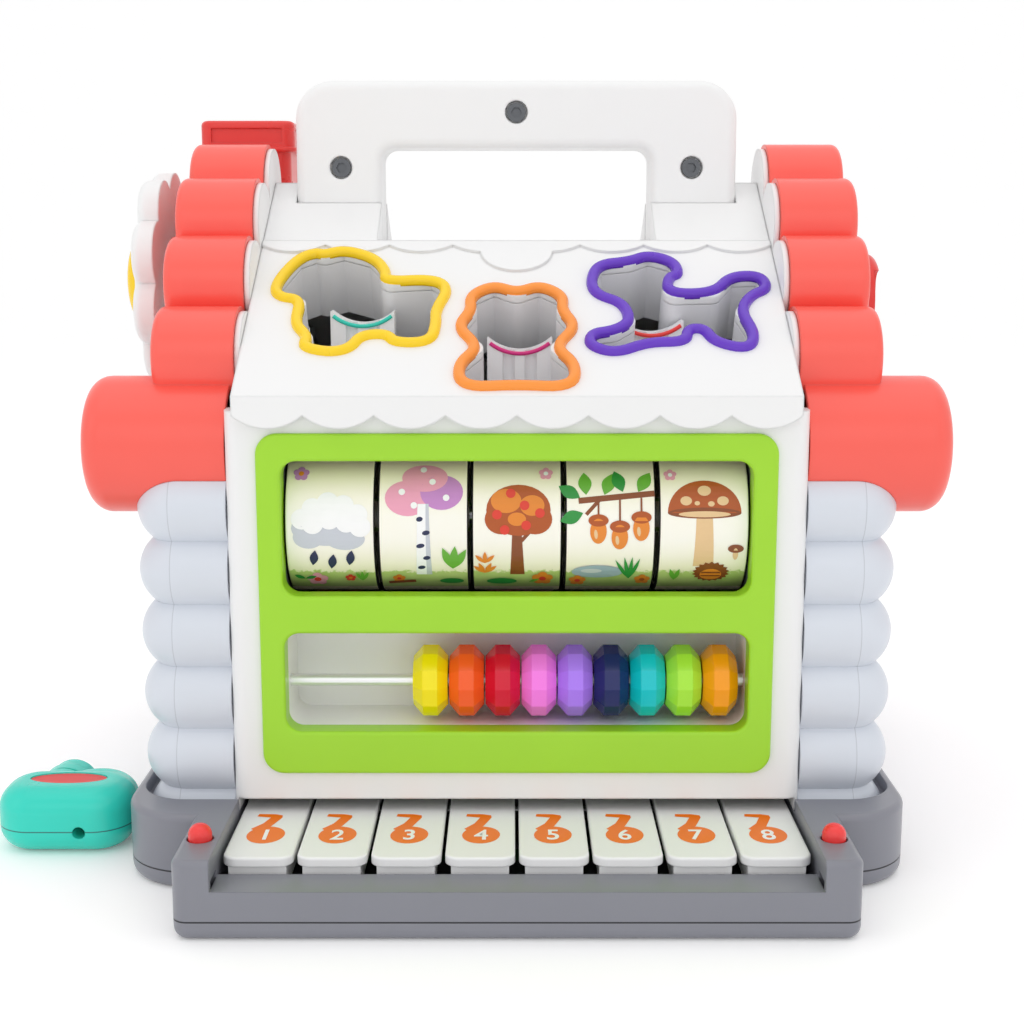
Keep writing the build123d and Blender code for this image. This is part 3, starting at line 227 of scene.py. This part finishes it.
def groove(tree, place, colour, axis, at, half, depth):
    """Darker line where the distance from the middle along one axis is near a value."""
    parts = add(tree, "ShaderNodeSeparateXYZ", {0: place})
    side = maths(tree, "ABSOLUTE", parts.outputs[axis])
    near = maths(tree, "COMPARE", side, at * MM, half * MM)
    return mixed(tree, maths(tree, "MULTIPLY", near, depth), colour, SEAM_DARK)


# Finishes

def surface(name):
    mat = bpy.data.materials.new(name)
    mat.use_nodes = True
    tree = mat.node_tree
    place = add(tree, "ShaderNodeTexCoord").outputs["Object"]
    return mat, tree, tree.nodes["Principled BSDF"], place


def finish_plastic(tree, bsdf, place, colour, rough, bevel, grain):
    """Gloss, moulded grain and softened edges over a colour."""
    cloud = noise(tree, place, GLOSS_SCALE, 3.0)
    fine = noise(tree, place, GRAIN_SCALE, 2.0)
    gloss = ramp(tree, cloud, 0.0, 1.0, rough - GLOSS_SPREAD, rough + GLOSS_SPREAD)
    inputs = {"Strength": grain, "Distance": GRAIN_DEPTH, "Height": fine}
    bump = add(tree, "ShaderNodeBump", inputs)
    if bevel:
        edge = add(tree, "ShaderNodeBevel", {"Radius": bevel * MM}, samples=BEVEL_SAMPLES)
        tree.links.new(edge.outputs["Normal"], bump.inputs["Normal"])
    tree.links.new(colour, bsdf.inputs["Base Color"])
    tree.links.new(gloss, bsdf.inputs["Roughness"])
    tree.links.new(bump.outputs["Normal"], bsdf.inputs["Normal"])


def plastic(name, code, rough=0.3, spread=0.04, bevel=0.5, grain=0.03, line=None):
    """Moulded plastic with a faint mottle, and a seam line if one is given."""
    mat, tree, bsdf, place = surface(name)
    base = linear(code)
    cloud = noise(tree, place, MOTTLE_SCALE, 3.0)
    colour = mixed(tree, cloud, shaded(base, 1 - spread), shaded(base, 1 + spread))
    if line:
        colour = groove(tree, place, colour, *line)
    finish_plastic(tree, bsdf, place, colour, rough, bevel, grain)
    return mat


def metal(name, code, rough):
    """Metal, brushed along X."""
    mat, tree, bsdf, place = surface(name)
    base = linear(code)
    stretched = add(tree, "ShaderNodeMapping", {0: place, "Scale": BRUSH_SCALE}).outputs[0]
    brushed = noise(tree, stretched, 1.0, 3.0)
    colour = mixed(tree, brushed, shaded(base, 0.93), shaded(base, 1.04))
    bsdf.inputs["Metallic"].default_value = 1.0
    finish_plastic(tree, bsdf, place, colour, rough, bevel=0, grain=0.02)
    return mat


def drum_paper(name):
    """Cream picture ground with grass along the bottom of each picture, and drum ends painted near
    black as shade for the gaps between the drums.
    """
    mat, tree, bsdf, place = surface(name)
    parts = add(tree, "ShaderNodeSeparateXYZ", {0: place})
    forward = maths(tree, "SUBTRACT", DRUM_Y * MM, parts.outputs[1])
    up = maths(tree, "SUBTRACT", parts.outputs[2], DRUM_Z * MM)
    turn = maths(tree, "MULTIPLY", maths(tree, "ARCTAN2", up, forward), DRUM_R)
    height = maths(tree, "WRAP", turn, PICTURE_H / 2, -PICTURE_H / 2)
    blades = noise(tree, place, BLADE_SCALE, 2.0)
    washes = noise(tree, place, WASH_SCALE, 2.0)
    ragged = maths(tree, "MULTIPLY_ADD", maths(tree, "SUBTRACT", blades, 0.5), BLADE_H, height)
    grass = ramp(tree, ragged, GRASS_TOP - GRASS_SOFT, GRASS_TOP + GRASS_SOFT, 1.0, 0.0)
    glow = ramp(tree, maths(tree, "ABSOLUTE", height), CREAM_FROM, CREAM_TO, 0.0, 1.0)
    cream = mixed(tree, glow, linear("FFFEF6"), linear("FFF4D2"))
    cream = mixed(tree, maths(tree, "MULTIPLY", washes, 0.25), cream, linear("FCEFC6"))
    green = mixed(tree, washes, linear("D6E39A"), linear("A9C765"))
    # Painted shade: drum ends are coloured near black to stand for the shade in the gaps between
    # the drums.
    normal = add(tree, "ShaderNodeNewGeometry").outputs["Normal"]
    facing = add(tree, "ShaderNodeSeparateXYZ", {0: normal})
    lean = maths(tree, "ABSOLUTE", facing.outputs[0])
    end = maths(tree, "GREATER_THAN", lean, DRUM_END_SHADE)
    colour = mixed(tree, end, mixed(tree, grass, cream, green), linear("1C1C1E"))
    finish_plastic(tree, bsdf, place, colour, rough=0.38, bevel=0, grain=0.02)
    return mat


BEAD = dict(rough=0.2, bevel=0.3)
MATERIALS = {
    "base_grey": plastic("base_grey", "85868F", 0.32, bevel=0.7, line=BASE_SEAM),
    "board": plastic("board", "0F5A2C", 0.5),
    "rubber": plastic("rubber", "26272A", 0.6),
    "speaker": plastic("speaker", "17181A", 0.5),
    "steel": metal("steel", "C2C4C8", 0.22),
    "dark_steel": metal("dark_steel", "6A6C70", 0.36),
    "white_shell": plastic("white_shell", "F1F1F1", 0.34, spread=0.012, bevel=1.3),
    "lime": plastic("lime", "A2DB2A", 0.3, bevel=0.6),
    "pale_grey": plastic("pale_grey", "ECECEE", 0.4),
    "dark_grey": plastic("dark_grey", "55575B", 0.45),
    "log_grey": plastic("log_grey", "D9DEE7", 0.32, spread=0.02, bevel=0.5, line=LOG_SEAM),
    "coral": plastic("coral", "FC6256", 0.3, bevel=0.8),
    "brick": plastic("brick", "E63934", 0.28, bevel=0.6),
    "sun_yellow": plastic("sun_yellow", "FFD411", 0.26),
    "rim_orange": plastic("rim_orange", "FF9636", 0.26),
    "rim_purple": plastic("rim_purple", "6532C2", 0.26),
    "button_red": plastic("button_red", "F7403F", 0.22),
    "teal": plastic("teal", "30DAC6", 0.26, bevel=0.6, line=TOY_KEY_SEAM),
    "key_white": plastic("key_white", "F5F5F5", 0.42, spread=0.012, bevel=0.5),
    "drum_print": drum_paper("drum_print"),
    "bead_yellow": plastic("bead_yellow", "FFEA08", **BEAD),
    "bead_vermilion": plastic("bead_vermilion", "FF6022", **BEAD),
    "bead_crimson": plastic("bead_crimson", "D90830", **BEAD),
    "bead_pink": plastic("bead_pink", "FF80EA", **BEAD),
    "bead_violet": plastic("bead_violet", "B07EFA", **BEAD),
    "bead_navy": plastic("bead_navy", "1A2462", **BEAD),
    "bead_teal": plastic("bead_teal", "06C8D0", **BEAD),
    "bead_lime": plastic("bead_lime", "AEEE40", **BEAD),
    "bead_orange": plastic("bead_orange", "FFA00C", **BEAD),
}
NODE_MATERIALS = {
    "abacus_tray": plastic("tray_white", "F9F9F9", 0.4),
    "abacus_rod": metal("rod_steel", "F6F6F8", 0.4),
}
for part in frame["record"]["subparts"]:
    shown = frame["nodes"][part["node"]]
    finish = NODE_MATERIALS.get(part["node"], MATERIALS[part["material_slot"]])
    shown.data.materials.clear()
    shown.data.materials.append(finish)

INK_CODES = {
    "white": "FFFFFF", "mist": "CBCFD8", "navy": "252C52", "pink": "F3A6C0", "mauve": "C98ACB",
    "leaf": "6BB23C", "pine": "2E9440", "bark": "8B4A24", "rust": "B4561F", "amber": "E98A2E",
    "red": "E2402F", "sand": "EBC795", "slate": "A3B6C6", "note": "FF7A00",
    "teal_line": "2CCBB6", "magenta_line": "D6247E", "red_line": "EE3A36",
    "label_red": "E8302F",
}
INKS = {
    name: plastic("ink_" + name, code, rough=0.4, spread=0.05, bevel=0, grain=0.01)
    for name, code in INK_CODES.items()
}


# Flat shapes, as closed outlines

def ellipse(u, v, a, b, turn=0.0, count=28):
    c, s = math.cos(turn), math.sin(turn)
    outline = []
    for i in range(count):
        p = a * math.cos(2 * math.pi * i / count)
        q = b * math.sin(2 * math.pi * i / count)
        outline.append((u + p * c - q * s, v + p * s + q * c))
    return outline


def leaf(u, v, length, width, degrees):
    steps = 8
    side = []
    for i in range(steps + 1):
        side.append((length * i / steps, width / 2 * math.sin(math.pi * i / steps)))
    outline = [(p, -q) for p, q in side] + side[-2:0:-1]
    c, s = math.cos(math.radians(degrees)), math.sin(math.radians(degrees))
    return [(u + p * c - q * s, v + p * s + q * c) for p, q in outline]


def bar(u0, v0, u1, v1, width):
    length = math.hypot(u1 - u0, v1 - v0)
    p, q = (v1 - v0) / length * width / 2, -(u1 - u0) / length * width / 2
    return [(u0 + p, v0 + q), (u1 + p, v1 + q), (u1 - p, v1 - q), (u0 - p, v0 - q)]


def blossom(u, v, r, petal, heart):
    """Five petals round a heart."""
    shapes = []
    for i in range(5):
        angle = 2 * math.pi * i / 5 + 0.3
        cu, cv = u + r * math.cos(angle), v + r * math.sin(angle)
        shapes.append((petal, ellipse(cu, cv, 0.8 * r, 0.8 * r, count=14)))
    return shapes + [(heart, ellipse(u, v, 0.6 * r, 0.6 * r, count=14))]


def fan(u, v, ink, length, width, angles):
    return [(ink, leaf(u, v, length, width, angle)) for angle in angles]


def ovals(ink, *places):
    return [(ink, ellipse(*place)) for place in places]


# Five pictures for the drums: across and up from the middle of the picture

def rain_cloud():
    puffs = (
        (-9, 3), (-5.5, 6.5), (-0.5, 8.5), (4.5, 7.5), (9, 4.5), (-5.5, 1.5), (0, 3), (5.5, 2),
        (10, 0.5),
    )
    shapes = ovals("mist", (-1, 0, 11.5, 6), (5, -3.5, 6.5, 4), (-7, -3, 5, 4))
    shapes += [("white", ellipse(u, v, 3.5, 3.4)) for u, v in puffs]
    shapes += [("navy", leaf(u, v, 6, 2.8, 80)) for u, v in ((-6, -13.5), (0, -15), (6, -13.5))]
    shapes += blossom(-9.5, 18.5, 1.5, "mauve", "amber")
    shapes += blossom(-5, -20.5, 2.0, "pink", "red")
    shapes += fan(-9, -20, "pine", 4, 1.8, (20, 150))
    shapes += blossom(6, -19.5, 1.0, "red", "amber")
    return shapes + fan(10, -21, "leaf", 5, 1.2, (65, 90, 115))


def birch():
    marks = (
        (-1.2, 3, 1.1), (0.9, -1.5, 1.3), (-1.0, -6, 1.4), (1.0, -10.5, 1.2), (-0.8, -14.5, 1.3),
    )
    shapes = [
        ("pink", ellipse(-5, 10, 7.5, 6)),
        ("mauve", ellipse(6, 12, 7, 6)),
        ("pink", ellipse(0.5, 17, 7.5, 5)),
        ("white", [(-2.6, -18), (2.6, -18), (1.8, 8), (-1.8, 8)]),
        ("mist", [(0.8, -18), (2.6, -18), (1.8, 8), (0.8, 8)]),
    ]
    shapes += [("navy", ellipse(u, v, a, 0.8, 0.2, 12)) for u, v, a in marks]
    for u, v in ((-7, 12), (-3, 7.5), (3, 15.5), (7.5, 10), (0, 20)):
        shapes.append(("white", ellipse(u, v, 1.1, 1.1, count=12)))
    shapes += fan(9.5, -15, "leaf", 9, 2.8, (60, 85, 112))
    shapes += blossom(-8.5, -20, 1.2, "amber", "red")
    return shapes + [("bark", bar(-12, -22.5, -3, -21.5, 1.6)), ("pine", ellipse(9, -21.5, 4, 1.6))]


def apple_tree():
    shapes = [
        ("bark", [(-2.2, -18), (2.6, -18), (1.5, 0), (-1.5, 0)]),
        ("bark", bar(0, -6, 6, 1, 1.2)),
    ]
    shapes += ovals("rust", (0.5, 6, 10.5, 8.5), (-5, 3, 5.5, 5), (6, 3, 5.5, 5))
    shapes += ovals("amber", (-3.5, 9, 5, 4), (5, 7.5, 4, 3.4), (0, 3, 3, 2.2))
    for u, v in ((-6.5, 4.5), (-2, 11.5), (2.5, 7.5), (7.5, 5), (3, 1), (-4, -0.5)):
        shapes.append(("red", ellipse(u, v, 1.6, 1.6, count=16)))
    shapes += fan(-10.5, -17, "amber", 5, 1.5, (40, 65, 115, 140))
    shapes += fan(-10.5, -12.5, "amber", 4.5, 1.4, (45, 90, 135))
    shapes += blossom(9.5, 18.5, 1.3, "pink", "white") + blossom(8.5, -20, 2.0, "amber", "red")
    return shapes + [("pine", ellipse(-5, -21.5, 5, 1.8)), ("leaf", leaf(4, -22, 4, 1.4, 30))]


def oak_branch():
    leaves = (
        (-10, 10, 150), (-8, 11, 95), (-2, 11, 70), (4, 12, 110), (9, 12, 60), (-9, 5, 200),
    )
    shapes = [("bark", bar(-10.5, 9, 14.3, 11.5, 2.0)), ("bark", bar(-3, 10, -8, 4.5, 1.2))]
    for u, v, angle in leaves:
        shapes.append(("pine" if angle > 100 else "leaf", leaf(u, v, 8, 4.4, angle)))
    for u, v in ((-4, 0), (3, -2), (10, 1)):
        shapes += [
            ("bark", bar(u, v + 4, u, 10, 0.6)),
            ("amber", ellipse(u, v - 1, 2.7, 4.2)),
            ("rust", ellipse(u, v + 2.6, 3.3, 2.0)),
            ("sand", ellipse(u - 0.8, v - 2, 0.6, 1.6, 0.1, 12)),
        ]
    shapes += [("slate", ellipse(-4, -16.5, 8.5, 3.0)), ("mist", ellipse(-6, -16, 3.5, 1.0))]
    shapes += fan(6.5, -20, "pine", 10, 1.3, (70, 85, 100, 118))
    shapes += blossom(11, -20.5, 1.5, "amber", "rust")
    return shapes + blossom(-10.5, -21, 1.6, "amber", "red")


def toadstools():
    angles = [i * math.pi / 24 for i in range(25)]
    cap = [(12 * math.cos(a), 5 + 11 * math.sin(a)) for a in angles]
    shapes = [
        ("sand", [(-3.2, -14), (3.6, -14), (2.6, 5), (-2.6, 5)]),
        ("rust", cap),
        ("bark", ellipse(0, 5, 12, 1.8)),
        ("sand", ellipse(0, 4.6, 8.5, 1.0)),
    ]
    for u, v, a in ((-6, 9, 1.9), (0, 12.4, 2.2), (6, 9, 1.9), (2.2, 8, 1.1), (-2.4, 8.2, 0.9)):
        shapes.append(("sand", ellipse(u, v, a, 0.8 * a, count=18)))
    burr = []
    for i in range(36):
        reach = 6.2 if i % 2 else 5.2
        angle = 2 * math.pi * i / 36
        burr.append((3 + reach * math.cos(angle), -17 + 0.8 * reach * math.sin(angle)))
    shapes += [
        ("bark", burr),
        ("amber", ellipse(3, -18, 3.6, 2.8)),
        ("sand", ellipse(10.5, -9, 0.9, 2.2)),
        ("bark", ellipse(10.5, -7, 2.6, 1.5)),
    ]
    return shapes + fan(-9, -21, "leaf", 6, 1.6, (75, 105)) + blossom(-11, 18, 1.2, "pink", "white")


PICTURES = [rain_cloud, birch, apple_tree, oak_branch, toadstools]


def printed(name, shapes, place, strip):
    """Thin printed skin: each shape is cut into strips and laid a little above the one before."""
    points, faces, inks, face_inks = [], [], [], []
    for level, (ink, outline) in enumerate(shapes):
        if ink not in inks:
            inks.append(ink)
        flat = bmesh.new()
        flat.faces.new([flat.verts.new((u, v, 0)) for u, v in outline])
        low, high = min(v for _, v in outline), max(v for _, v in outline)
        for k in range(math.ceil(low / strip), math.ceil(high / strip)):
            everything = flat.verts[:] + flat.edges[:] + flat.faces[:]
            bmesh.ops.bisect_plane(
                flat, geom=everything, plane_co=(0, k * strip, 0), plane_no=(0, 1, 0),
            )
        bmesh.ops.triangulate(flat, faces=flat.faces[:])
        flat.verts.index_update()
        first = len(points)
        points += [place(v.co.x, v.co.y, level) for v in flat.verts]
        faces += [[first + v.index for v in f.verts] for f in flat.faces]
        face_inks += [inks.index(ink)] * len(flat.faces)
        flat.free()
    mesh = mesh_of(name, points, faces)
    for ink in inks:
        mesh.materials.append(INKS[ink])
    mesh.polygons.foreach_set("material_index", face_inks)
    return put(name, mesh)


def round_drum(x):
    def place(u, v, level):
        r = DRUM_R + PRINT_LIFT + DRUM_LAYER * level
        angle = v / DRUM_R
        return Vector((x + u, DRUM_Y - r * math.cos(angle), DRUM_Z + r * math.sin(angle))) * MM
    return place


for i in range(DRUM_COUNT):
    art = []
    for k in range(PICTURE_COUNT):
        picture = PICTURES[(i + PICTURE_SHIFT * k) % len(PICTURES)]()
        art += [(ink, [(u, v + k * PICTURE_H) for u, v in outline]) for ink, outline in picture]
    x = (i - (DRUM_COUNT - 1) / 2) * DRUM_PITCH
    skin = printed(f"drum_picture_{i + 1}", art, round_drum(x), DRUM_STRIP)
    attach(skin, f"picture_drum_{i + 1}")


# Notes and numbers on the piano keys: across and back from the middle of the note's head

FLAG = [
    (-5.0, 18.4), (-5.3, 16.2), (-0.6, 15.2), (-2.4, 9.8), (-5.6, 5.2), (-4.0, 3.0), (0.6, 7.4),
    (3.2, 15.2), (3.0, 17.2), (0.4, 18.2),
]
NOTE = [("note", ellipse(0, 0, 6.1, 7.2, -0.12)), ("note", FLAG)]


def on_key(x):
    def place(u, v, level):
        return Vector((x + u, NOTE_Y + v, KEY_TOP + PRINT_LIFT + NOTE_LAYER * level)) * MM
    return place


def number_mesh(name, text, x):
    """Printed number, from the built-in font."""
    curve = bpy.data.curves.new(name, "FONT")
    curve.body = text
    curve.offset = NUMBER_BOLD
    maker = put(name + "_maker", curve)
    bpy.context.view_layer.update()
    made = maker.evaluated_get(bpy.context.evaluated_depsgraph_get())
    mesh = bpy.data.meshes.new_from_object(made)
    bpy.data.objects.remove(maker)
    xs = [v.co.x for v in mesh.vertices]
    ys = [v.co.y for v in mesh.vertices]
    size = NUMBER_H / (max(ys) - min(ys))
    for v in mesh.vertices:
        u = (v.co.x - (max(xs) + min(xs)) / 2) * size * NUMBER_SQUEEZE
        w = (v.co.y - (max(ys) + min(ys)) / 2) * size
        v.co = Vector((x + u, NOTE_Y + w, KEY_TOP + NUMBER_LIFT)) * MM
    mesh.materials.clear()
    mesh.materials.append(INKS["white"])
    return put(name, mesh)


for i in range(KEY_COUNT):
    x = (i - (KEY_COUNT - 1) / 2) * KEY_PITCH
    note = printed(f"key_note_{i + 1}", NOTE, on_key(x), NOTE_STRIP)
    number = number_mesh(f"key_number_{i + 1}", str(i + 1), x)
    for piece in (note, number):
        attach(piece, f"piano_key_{i + 1}")


# Bare label of the toy key

def on_bow(u, v, _level):
    return Vector((TOY_KEY[0] + u, TOY_KEY[1] + v, LABEL_Z)) * MM


oval = ellipse(0, LABEL_V, LABEL_HALF_W, LABEL_HALF_D, count=48)
label = printed("toy_key_label", [("label_red", oval)], on_bow, LABEL_STRIP)
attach(label, "toy_key")


# Shape-hole rims with rounded corners

def smooth_loop(points, steps=6):
    """Closed curve that rounds every corner of the outline."""
    loop = []
    for i, spot in enumerate(points):
        before, corner = Vector(points[i - 1]), Vector(spot)
        after = Vector(points[(i + 1) % len(points)])
        first, last = (before + corner) / 2, (corner + after) / 2
        for k in range(steps):
            t = k / steps
            loop.append(first.lerp(corner, t).lerp(corner.lerp(last, t), t))
    return loop


def on_slope(u, v, height):
    c, s = math.cos(ROOF_SLOPE), math.sin(ROOF_SLOPE)
    return Vector((u, FOLD_Y + v * c - height * s, FOLD_Z + v * s + height * c)) * MM


def bead_rim(name, outline, finish):
    """Rounded bead swept along the outline."""
    path = smooth_loop(outline)
    count = len(path)
    section = [(RIM_HALF_W, -RIM_SUNK)]
    for i in range(RIM_ARC + 1):
        angle = math.pi * i / RIM_ARC
        height = RIM_H * math.sin(angle) ** RIM_FULLNESS
        section.append((RIM_HALF_W * math.cos(angle), height))
    section.append((-RIM_HALF_W, -RIM_SUNK))
    points, faces = [], []
    for i, spot in enumerate(path):
        along = (path[(i + 1) % count] - path[i - 1]).normalized()
        for across, height in section:
            points.append(on_slope(spot.x + across * along.y, spot.y - across * along.x, height))
    size = len(section)
    for i in range(count):
        a, b = i * size, (i + 1) % count * size
        for k in range(size):
            faces.append((a + k, a + (k + 1) % size, b + (k + 1) % size, b + k))
    mesh = smoothed(mesh_of(name, points, faces))
    mesh.materials.append(MATERIALS[finish])
    return put(name, mesh)


BEAR = BEAR_HALF + [BEAR_FOOT] + [(-u, v) for u, v in reversed(BEAR_HALF[1:])]
RIMS = [
    ("left", HOUND, "sun_yellow"),
    ("centre", BEAR, "rim_orange"),
    ("right", PUPPY, "rim_purple"),
]
for side, outline, finish in RIMS:
    rim = bead_rim(f"hole_rim_{side}", outline, finish)
    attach(rim, "house")
    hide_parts(f"sorter_rim_{side}")


# White cheeks that close the roof's ends above the walls

def cheek(name, side, facing):
    """Thin plate under the roof skin, between the wall's top edge and the slope."""
    corners = ((CHEEK_OUT, False), (CHEEK_IN, False), (CHEEK_IN, True), (CHEEK_OUT, True))
    outline = []
    for out, lifted in corners:
        slope = FOLD_Z + (-FOLD_Y - out) * math.tan(ROOF_SLOPE) - ROOF_DROP
        outline.append((facing * out, slope if lifted else WALL_TOP))
    points = [Vector((side * x, y, z)) * MM for x in CHEEK_X for y, z in outline]
    faces = [(0, 1, 2, 3), (7, 6, 5, 4)]
    faces += [(k, k + 4, (k + 1) % 4 + 4, (k + 1) % 4) for k in range(4)]
    mesh = mesh_of(name, points, faces)
    mesh.materials.append(MATERIALS["white_shell"])
    return put(name, mesh)


for side, facing in ((-1, -1), (1, -1), (-1, 1), (1, 1)):
    place = ("left" if side < 0 else "right") + ("_front" if facing < 0 else "_rear")
    plate = cheek("roof_cheek_" + place, side, facing)
    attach(plate, "house")


# Coloured lines on the guide posts

def tube(name, points, radius, ink):
    curve = bpy.data.curves.new(name, "CURVE")
    curve.dimensions = "3D"
    curve.bevel_depth = radius * MM
    curve.bevel_resolution = 3
    line = curve.splines.new("POLY")
    line.points.add(len(points) - 1)
    for spot, p in zip(line.points, points):
        spot.co = (p[0] * MM, p[1] * MM, p[2] * MM, 1.0)
    curve.use_fill_caps = True
    curve.materials.append(INKS[ink])
    return put(name, curve)


for x, y, top, ink in POSTS:
    saddle = []
    for i in range(-LINE_HALF_W, LINE_HALF_W + 1):
        dip = math.sqrt(SADDLE_R ** 2 - i ** 2)
        saddle.append((x + i, y, top + SADDLE_LIFT - dip - LINE_DROP))
    strip = tube("post_" + ink, saddle, LINE_R, ink)
    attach(strip, "house")


# Studio

def floor_sweep():
    """Pale floor that curves up far behind the object."""
    profile = [(FLOOR_FRONT, 0.0), (FLOOR_BACK, 0.0)]
    for i in range(1, BEND_STEPS + 1):
        a = i / BEND_STEPS * math.pi / 2
        profile.append((FLOOR_BACK + BEND_R * math.sin(a), BEND_R - BEND_R * math.cos(a)))
    profile.append((FLOOR_BACK + BEND_R, BACKDROP_TOP))
    points = [(x, y, z) for y, z in profile for x in (-FLOOR_HALF_W, FLOOR_HALF_W)]
    faces = [(2 * i, 2 * i + 1, 2 * i + 3, 2 * i + 2) for i in range(len(profile) - 1)]
    mesh = smoothed(mesh_of("studio_floor", points, faces))
    paper = plastic("studio_paper", "FFFFFF", rough=0.8, spread=0.0, bevel=0, grain=0.0)
    tree = paper.node_tree
    ray = add(tree, "ShaderNodeLightPath").outputs
    mirrored = maths(tree, "ADD", ray["Is Glossy Ray"], ray["Is Transmission Ray"])
    seen = maths(tree, "ADD", ray["Is Camera Ray"], mirrored)
    lift = maths(tree, "MULTIPLY", seen, PAPER_LIFT)
    bsdf = tree.nodes["Principled BSDF"]
    bsdf.inputs["Emission Color"].default_value = (1.0, 1.0, 1.0, 1.0)
    tree.links.new(lift, bsdf.inputs["Emission Strength"])
    mesh.materials.append(paper)
    return put("studio_floor", mesh)


def softbox(name, place, aim, size, power):
    data = bpy.data.lights.new(name, "AREA")
    data.shape = "RECTANGLE"
    data.size, data.size_y = size
    data.energy = power
    obj = put(name, data)
    obj.location = place
    obj.rotation_euler = (Vector(aim) - Vector(place)).to_track_quat("-Z", "Y").to_euler()


floor_sweep()
for box in SOFTBOXES:
    softbox(*box)

scene = bpy.context.scene
world = bpy.data.worlds.new("studio")
world.use_nodes = True
sky = world.node_tree.nodes["Background"]
sky.inputs["Color"].default_value = (1.0, 1.0, 1.0, 1.0)
sky.inputs["Strength"].default_value = WORLD_LEVEL
scene.world = world
scene.view_settings.view_transform = "Standard"

camera_data = bpy.data.cameras.new("photo_camera")
camera_data.lens = CAMERA_LENS
camera_data.sensor_width = CAMERA_SENSOR
camera_data.clip_start = CAMERA_CLIP
camera = put("photo_camera", camera_data)
camera.location = CAMERA_AT
camera.rotation_euler = (math.radians(90 - CAMERA_PITCH), 0.0, 0.0)
scene.camera = camera

bpy.context.view_layer.update()
